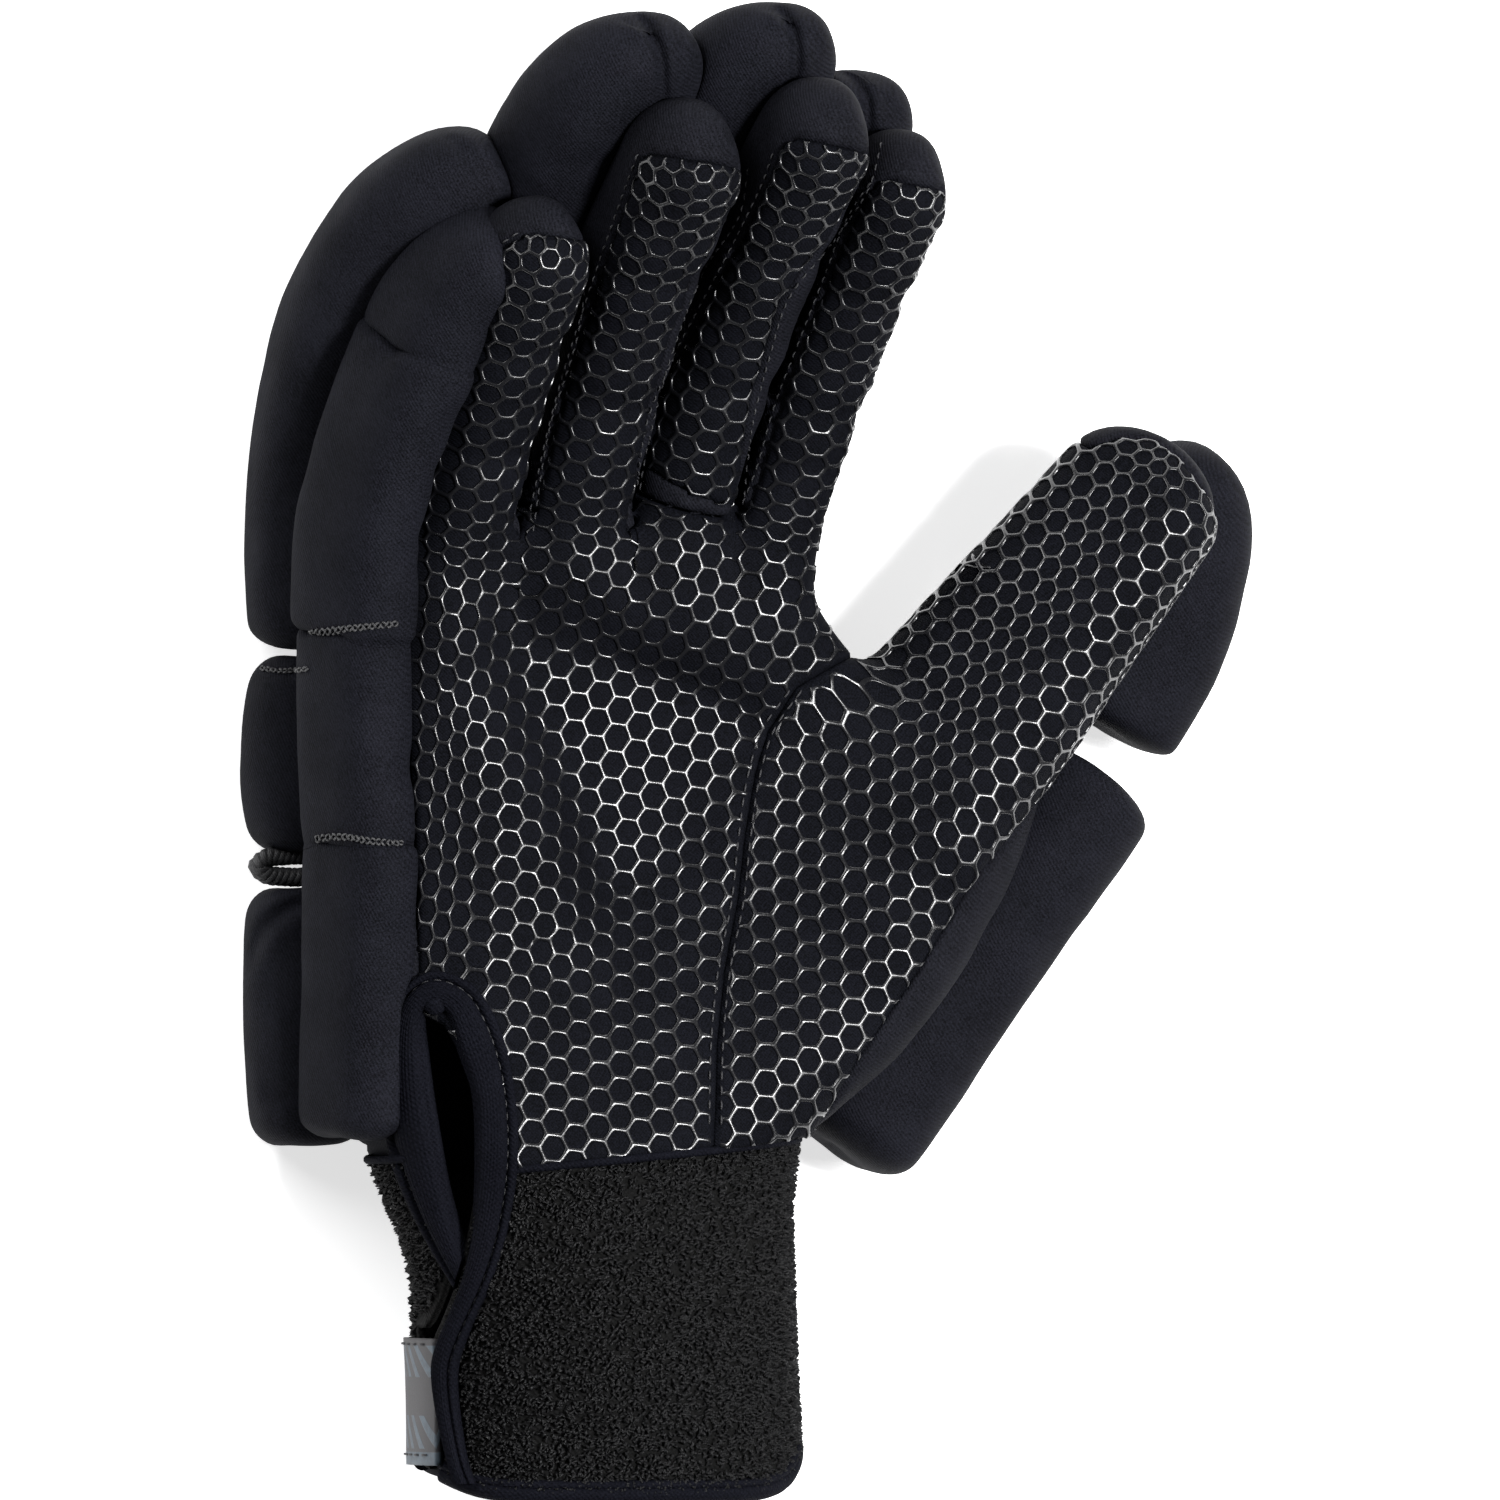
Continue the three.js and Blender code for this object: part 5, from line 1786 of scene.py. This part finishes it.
# Stitched channels: lines in the photograph's pixels and how far the zigzag sways
CHANNEL_LINES = (
    (((312, 633), (340, 630), (370, 627), (400, 624)), 0.5),
    (((318, 838), (345, 836), (372, 840), (405, 843)), 0.5),
    (((262, 669), (285, 672), (312, 669)), 0.35),
)


# Sections of the wrist band: y, left, right, low, high
CUFF = np.array([
    (-130, -69.5, 0, 4.5, 50),
    (-104, -70, -1, 4.5, 50),
    (-88, -71.5, -1.5, 5, 50),
    (-78, -75.5, -1.5, 6, 49),
    (-70.3, -79, -0.5, 8, 48),
])
CUFF_POWER = 2.2
BAND_MIDDLE = 27.0  # the height that parts the band's palm side from its back
BAND_TOP, HEM_Y = -62.0, -129.0  # the band is made from here, under the seam, down to its hem
HEM_RISE = (4.7, 9.0)  # on the little finger's side and on the thumb's
PILE_TALL = 1.3  # the loops stand this far off the band's ground cloth
TAB_TOP_Y, TAB_TALL = -101.0, 22.0


def wrist_seam(x: Array) -> Array:
    """Gives the height of the seam between hand and wrist band, which rises toward the thumb."""
    return -67.5 + 0.09 * x + 3.4 * smooth(-62, -70, x)


def past_seam(points: Array) -> Array:
    """Gives how far points lie past that seam, toward the fingers."""
    return points[..., 1] - wrist_seam(points[..., 0])


def slit_gap(points: Array) -> Array:
    """Gives how far points of the palm side lie from the slit, negative in it."""
    gap = outline_distance(points[:, :2], np.array(SLIT, float))
    return np.where(points[:, 2] < SLIT_LOW, 20, gap)


@dataclass
class WristBand:
    """The terry band round the wrist, open beside the slit, with its hem roll."""

    around: int = 200
    rows: int = 44
    loop_area: float = 0.38  # a loop of pile stands on each such square millimetre
    back_share: float = 0.45  # and on the hidden back there are fewer by this share

    def ring(self, y: float, outset: float, angle: Array, level: bool = False) -> Array:
        """Gives points round the band at one height.

        Args:
            y: The height along the arm.
            outset: How far outside the band's outer face.
            angle: The turn of each point, from the thumb's side over the palm side.
            level: Leaves out the rise of the band's lower edge at its sides and back.

        Returns:
            The points.
        """
        left, right, low, high = section(CUFF, np.array([y]))
        u, v = squared(np.cos(angle), CUFF_POWER), squared(np.sin(angle), CUFF_POWER)
        x = (left + right) / 2 + u * ((right - left) / 2 + outset)
        z = (low + high) / 2 + v * ((high - low) / 2 + outset)
        rise = np.where(u < 0, *HEM_RISE) * np.abs(u) ** 8 + 3.5 * smooth(0.1, -0.5, v)
        rise = rise * np.clip((-y - 70) / 60, 0, 1) ** 2 * (not level)
        return np.column_stack([x, y + rise, z])

    def sheet(self, top: float, bottom: float, outset: float) -> Skin:
        """Makes the band's face between two heights, with its outward directions as a value."""
        angle = np.arange(self.around) / self.around * math.tau
        rings = np.stack([self.ring(y, outset, angle) for y in np.linspace(top, bottom, self.rows)])
        skin = Skin(rings.reshape(-1, 3), halves(grid_faces(self.rows, self.around)))
        skin.values["way"] = skin.normals()
        return skin

    def inside(self, points: Array) -> Array:
        """Gives how far points lie inside the band's edges at the slit and the seam."""
        return np.minimum(slit_gap(points), -past_seam(points))

    def build(self) -> None:
        """Builds the band's ground cloth, its pile and its hem."""
        self.whole = self.sheet(BAND_TOP, HEM_Y, -PILE_TALL)
        cut = self.whole.clipped(self.inside(self.whole.points))
        ways = unit(cut.values["way"])
        add_piece("cuff_band", Skin(cut.points, cut.faces).thickened(ways, TERRY - PILE_TALL),
                  TERRY_GROUND, ("cuff",))
        self.build_pile(cut)
        self.build_hem()

    def build_pile(self, cut: Skin) -> None:
        """Covers the band with loops of pile, the palm side and the back as a piece each."""
        rng = np.random.default_rng(21)
        ways, level = unit(cut.values["way"]), self.inside(cut.points)
        a, b, c = cut.corners()
        areas = np.linalg.norm(np.cross(b - a, c - a), axis=1) / 2
        areas *= np.where(a[:, 2] > BAND_MIDDLE, 1.0, self.back_share)
        count = int(areas.sum() / self.loop_area)
        corner = cut.faces[rng.choice(len(areas), count, p=areas / areas.sum())]
        share = rng.dirichlet((1, 1, 1), count)
        place = np.einsum("nk,nkd->nd", share, cut.points[corner])
        way = unit(np.einsum("nk,nkd->nd", share, ways[corner]))
        inside = np.einsum("nk,nk->n", share, level[corner]) > 0.6
        place, way = place[inside], way[inside]
        along = unit(np.cross(way, rng.normal(size=way.shape)))
        side = np.cross(way, along)
        sides, total = 3, len(place)
        arc = np.array([0.15, 0.5, 0.85]) * math.pi
        span, tall = rng.uniform(0.4, 0.85, total), rng.uniform(0.6, 1.5, total)
        thick, twist = rng.uniform(0.21, 0.31, total), rng.uniform(-0.4, 0.4, total)
        core = (place[:, None]
                + (-np.cos(arc)[None] * span[:, None] / 2)[..., None] * along[:, None]
                + (np.sin(arc)[None] * tall[:, None] - 0.25)[..., None] * way[:, None]
                + (np.sin(arc * 2)[None] * twist[:, None])[..., None] * side[:, None])
        up = unit(np.cross(side[:, None], unit(np.gradient(core, axis=1))))
        turn = np.arange(sides) / sides * math.tau
        tube = (core[:, :, None] + thick[:, None, None, None] * (
            np.cos(turn)[None, None, :, None] * side[:, None, None]
            + np.sin(turn)[None, None, :, None] * up[:, :, None]))
        palm = place[:, 2] > BAND_MIDDLE
        for name, kept in (("cuff_pile_palm", palm), ("cuff_pile_back", ~palm)):
            starts = np.arange(int(kept.sum())) * len(arc) * sides
            faces = (grid_faces(len(arc), sides)[None] + starts[:, None, None]).reshape(-1, 4)
            add_piece(name, Skin(tube[kept].reshape(-1, 3), faces), PILE)

    def from_slit(self, line: Array, gap: float) -> tuple[Array, Array]:
        """Cuts a ring round the band open at the slit.

        Args:
            line: The ring's points.
            gap: How far from the slit it ends.

        Returns:
            The open line and the outward direction at each of its points.
        """
        line = np.roll(line, -int(np.argmin(slit_gap(line))), axis=0)
        line = line[slit_gap(line) > gap]
        return line, unit((line - line.mean(axis=0)) * [1, 0, 1])

    def build_hem(self) -> None:
        """Runs the double roll of tape round the band's lower edge and the welt round its upper."""
        welt = self.sheet(BAND_TOP, -80.0, -PILE_TALL + 0.5)
        points = welt.points.reshape(self.rows, self.around, 3)
        row = np.argmin(np.abs(past_seam(points)), axis=0)
        line = points[row, np.arange(self.around)]
        line[:, 1] = wrist_seam(line[:, 0])
        line, out = self.from_slit(line, 0.3)
        add_piece("cuff_welt", sweep(line + 0.3 * out, out, oval(1.5, 1.5, 8)).outward(), EDGE_TAPE)
        turn = np.linspace(0, math.tau, 400, endpoint=False)
        path, out = self.from_slit(self.ring(HEM_Y, -1.5, turn), 0.1)
        for name, shift, wide, tall in (("hem_roll_upper", 1.7, 2.8, 1.9), ("hem_roll_lower", 0.0, 3.3, 3.0)):
            roll = sweep(path + [0, shift, 0] - out * 0.2, out, oval(tall, wide, 16)).outward()
            add_piece(name, roll, EDGE_TAPE, ("hem_tape",))


# The tape round the slit and down the flap's edge: its outer and its inner edge, in the photograph's
# pixels, from its end beside the little finger's side
TAPE_OUTER = ((458, 1290), (436, 1252), (410, 1200), (392, 1152), (388, 1110), (389, 1060), (397, 1014),
              (410, 985), (430, 971), (452, 973), (476, 986), (493, 1010), (505, 1040), (514, 1080),
              (519, 1130), (517, 1180), (508, 1230), (494, 1275), (478, 1315), (466, 1355), (464, 1385),
              (468, 1425), (474, 1460), (482, 1482))
TAPE_INNER = ((466, 1258), (456, 1226), (446, 1186), (437, 1142), (429, 1097), (424, 1052), (422, 1020),
              (427, 1010), (434, 1007), (443, 1008), (452, 1018), (458, 1040), (465, 1060), (475, 1090),
              (478, 1135), (477, 1185), (474, 1230), (466, 1270), (455, 1308), (442, 1352), (443, 1388),
              (449, 1425), (457, 1462), (464, 1488))
NUB_PIXEL = (437, 1003)
LOOP_WAY = ((-73, -18.6, 12), (-82, -18.3, 12), (-89, -18.4, 12), (-92.6, -19.0, 12), (-93.8, -20.2, 12),
            (-92.6, -21.4, 12), (-89, -22.0, 12), (-82, -21.9, 12), (-73, -21.4, 12))


@dataclass
class Trim:
    """The tape round the slit, the closing tab, the elastic loop and the seams' threads."""

    shell: HandShell
    band: WristBand
    piping_tall: float = 0.9
    tape_tall: float = 1.9
    ribs: float = 9.5  # the tape's fine ribs, counted across it

    def front(self) -> Surface:
        """Gives the hand and the wrist band as one surface, as if the slit were closed."""
        skin, band = self.shell.skin, self.band.whole
        hand = Skin(skin.points, skin.faces, {"way": self.shell.ways}).clipped(past_seam(skin.points))
        cuff = band.clipped(-past_seam(band.points))
        ways = np.vstack([hand.values["way"], cuff.values["way"]])
        points = np.vstack([hand.points, cuff.points + 0.5 * cuff.values["way"]])
        return Surface(Skin(points, np.vstack([hand.faces, cuff.faces + len(hand.points)])), unit(ways))

    @staticmethod
    def even(values: Array, width: int) -> Array:
        """Smooths values along a line, leaving its ends."""
        kernel = np.ones(width) / width
        padded = np.pad(values, ((width // 2, width // 2), (0, 0)), mode="edge")
        return np.stack([np.convolve(column, kernel, "valid") for column in padded.T], axis=1)

    def build_tape(self, surface: Surface) -> None:
        """Runs the tape round the slit: a soft crowned band with fine ribs and a piping outside."""
        count = len(fine_line(photo_line(TAPE_OUTER), 0.5))
        steps = np.linspace(0, 1, len(TAPE_OUTER))
        run = np.linspace(0, 1, count)
        edges = [np.stack([glide(run, steps, column) for column in photo_line(line).T], axis=1)
                 for line in (TAPE_OUTER, TAPE_INNER)]
        places, ways = [], []
        for edge in edges:
            place, way, _ = surface.seen(edge)
            places.append(self.even(place, 9))
            ways.append(way)
        up = unit(self.even(ways[0] + ways[1], 21))
        # The flap's end lies over the closing tab
        lift = 0.2 + 1.6 * smooth(0.74, 0.84, run) - 0.5 * smooth(0.08, 0.0, run)
        # Across it: the piping, a groove at a quarter, and the crowned band
        share = np.concatenate([np.linspace(0, 0.22, 9), [0.25], np.linspace(0.28, 1.0, 42)])
        piping = self.piping_tall * np.sqrt(np.maximum(0, 1 - ((share - 0.11) / 0.125) ** 2)) + 0.15
        crown = np.clip((share - 0.26) / 0.74, 0, 1)
        ribs = 0.07 * np.cos(crown * self.ribs * math.tau)
        body = self.tape_tall * (1 - np.abs(2 * crown - 0.95) ** 2.6).clip(0) ** 0.5
        body = body + ribs * smooth(0, 0.1, crown)
        tall = np.where(share < 0.25, piping, np.where(share < 0.27, 0.1, body))
        share = np.concatenate([share, [1.05, 1.02, 0.85, 0.5, 0.15, -0.02]])
        tall = np.concatenate([tall, [-0.7, -1.9, -2.3, -1.0, -0.8, -0.5]])
        rings = (places[0][:, None] * (1 - share)[None, :, None] + places[1][:, None] * share[None, :, None]
                 + (tall[None, :, None] + lift[:, None, None]) * up[:, None])
        add_piece("slit_binding", loft(rings).outward(), EDGE_TAPE, ("slit_tape",))
        spot, way, _ = surface.seen(photo_line((NUB_PIXEL,)))
        turn = np.linspace(-math.pi / 2, math.pi / 2, 9)
        path = spot + (np.sin(turn) * 1.3)[:, None] * way + way * 0.8
        sizes = np.maximum(np.cos(turn), 0.05)
        side = np.tile([1.0, 0, 0], (9, 1))
        add_piece("slit_nub", sweep(path, side, oval(4.2, 4.2, 16), sizes).outward(), EDGE_TAPE)
        groove = places[0] * 0.755 + places[1] * 0.245 + (lift + 0.28)[:, None] * up
        add_piece("slit_binding_thread", stitches(groove[6:-10], up[6:-10], 1.5, 0.7, 0.26), BLACK_THREAD)

    def build_tab(self) -> None:
        """Wraps the printed tab round the band's side, under the flap."""
        turn = np.linspace(math.radians(161), math.radians(252), 60)
        heights = TAB_TOP_Y - 1.0 - np.linspace(0, TAB_TALL, 24)
        rings = np.stack([np.vstack([self.band.ring(y, 0.9, turn, True),
                                     self.band.ring(y, -0.4, turn, True)[::-1]]) for y in heights])
        finish = TabPrint("printed_tab", "printed_tab", (0.020, 0.0185, 0.021), (0.055, 0.078, 0.10),
                          TAB_TOP_Y + DRAWING_ORIGIN[1] / MM)
        add_piece("closing_tab", loft(rings).outward(), finish, ("closure_tab",))
        rows = []
        for drop in (1.0, 20.2):
            line = self.band.ring(TAB_TOP_Y - 1.0 - drop, 0.95, turn[3:-3], True)
            out = unit((line - [-35, 0, 27]) * [1, 0, 1])
            rows.append(stitches(line, out, 1.9, 1.1, 0.42))
        add_piece("closing_tab_thread", Skin.joined(rows), BLACK_THREAD)

    def build_loop(self) -> None:
        """Makes the elastic loop of two round strands wound on each other."""
        path = fine_line(LOOP_WAY, 0.25)
        run = np.arange(len(path)) * 0.25
        way = unit(np.gradient(path, axis=0))
        side = unit(np.cross(way, [0, 0, 1.0]))
        up = np.cross(side, way)
        plies = []
        for start in (0, math.tau / 3, 2 * math.tau / 3):
            angle = run / 3.4 * math.tau + start
            core = path + 0.8 * (np.cos(angle)[:, None] * side + np.sin(angle)[:, None] * up)
            plies.append(sweep(core, up, oval(1.9, 1.9, 8)).outward())
        add_piece("elastic_cord", Skin.joined(plies), ELASTIC, ("elastic_loop",))

    def build_seams(self) -> None:
        """Sews the threads that show along the panels' seams."""
        lines = [(THUMB_SEAM[1:-1], shift, 1.7, 0.36, 0.05) for shift in (-7, 5)]
        for name in STRIP_LEFT:
            lines.append((STRIP_LEFT[name][1:], -5.5, 1.3, 0.32, 0.0))
            lines.append((STRIP_RIGHT[name][1:], 5.5, 1.3, 0.32, 0.0))
        lines.append((PALM_LEFT[:6], -5, 1.5, 0.34, 0.0))
        rows = []
        for pixels, shift, length, thick, lift in lines:
            line = fine_line(photo_line(np.array(pixels, float) + [shift, 0]), 0.5)
            places, ways, hit = self.shell.surface.seen(line)
            if hit.sum() > 4:
                rows.append(stitches(places[hit], ways[hit], length, 0.9, thick, lift))
        add_piece("hand_seam_thread", Skin.joined(rows), BLACK_THREAD)

    def build(self) -> None:
        """Builds all of the trim."""
        surface = self.front()
        self.build_tape(surface)
        self.build_tab()
        self.build_loop()
        self.build_seams()


# The lamps: name, place and size in metres, watts
LIGHTS = (("key", (1.18, -0.15, 1.38), (0.5, 0.5), 16), ("glint", (0.56, 0.06, 1.73), (0.32, 0.32), 58),
          ("fill", (-1.2, 1.0, 1.1), (0.9, 0.9), 22), ("rim", (0.1, 1.9, 0.7), (1.6, 0.6), 14))


@dataclass
class Studio:
    """The pale floor, the soft lights and the camera at the photograph's angle."""

    reach: float = 6.5
    floor_reach: float = 6.0
    sharp_height: float = 0.03  # the height over the floor at which the scale is the photograph's
    floor_tone: tuple[float, float, float] = (0.93, 0.93, 0.935)

    def floor_material(self) -> bpy.types.Material:
        """Makes the floor's material: matt white with a faint grain."""
        dress = Dress("studio_floor")
        cloud = dress.noise(300.0, 2.0, 0.5)
        dress.set(Base_Color=dress.mixed(cloud, (0.92, 0.92, 0.92), self.floor_tone), Roughness=0.9,
                  Specular_IOR_Level=0.1, Emission_Color=(1.0, 1.0, 1.0), Emission_Strength=0.68)
        return dress.material

    def build_floor(self) -> None:
        """Lays the floor."""
        corners = self.floor_reach * np.array([(-1.0, -1, 0), (1, -1, 0), (1, 1, 0), (-1, 1, 0)])
        floor = plain_object("studio_floor", corners, np.arange(4)[None])
        floor.data.materials.append(self.floor_material())

    def add_light(self, name: str, place: tuple, size: tuple, watts: float) -> None:
        """Hangs one soft light that shines on the glove."""
        data = bpy.data.lights.new(name, "AREA")
        data.shape = "RECTANGLE"
        data.size, data.size_y = size
        data.energy = watts
        light = placed(name, data)
        light.location = place
        way = Vector((0, 0, self.sharp_height)) - light.location
        light.rotation_euler = way.to_track_quat("-Z", "Y").to_euler()

    def build_camera(self) -> None:
        """Sets the camera so that the photograph's frame is filled in the same way."""
        data = bpy.data.cameras.new("photo_camera")
        width = PHOTO_SIZE / PIXELS_PER_MM * MM
        data.sensor_width = 36.0
        data.lens = data.sensor_width * (self.reach - self.sharp_height) / width
        data.clip_end = 30
        camera = placed("photo_camera", data)
        back, right = Vector(VIEW_BACK), Vector(VIEW_RIGHT)
        turn = Matrix((right, back.cross(right), back)).transposed().to_4x4()
        camera.matrix_world = Matrix.Translation(Vector(DRAWING_ORIGIN) + back * self.reach) @ turn
        bpy.context.scene.camera = camera

    def build(self) -> None:
        """Builds the whole studio."""
        scene = bpy.context.scene
        self.build_floor()
        for light in LIGHTS:
            self.add_light(*light)
        world = bpy.data.worlds.new("studio")
        world.use_nodes = True
        sky = world.node_tree.nodes["Background"].inputs
        sky["Color"].default_value, sky["Strength"].default_value = (1, 1, 1, 1), 0.11
        scene.world = world
        scene.view_settings.view_transform = "Standard"
        self.build_camera()


def main() -> None:
    """Builds the glove and its studio."""
    logging.basicConfig(level=logging.INFO, format="%(name)s: %(message)s")
    form = HandForm()
    shell = HandShell(form)
    shell.build()
    for name in Panel:
        skin, ways = shell.panel(name)
        cloth = PRINT_CLOTH if name in (Panel.PALM, Panel.THUMB) else NEOPRENE
        add_piece(name.value + "_cloth", skin.thickened(ways, CLOTH), cloth, (name.value,))
    for name, skin in PrintedNet(shell).build().items():
        add_piece(name.value + "_net", skin, SILICONE)
    Pads(form).build()
    band = WristBand()
    band.build()
    Trim(shell, band).build()
    Studio().build()


if __name__ == "__main__":
    main()
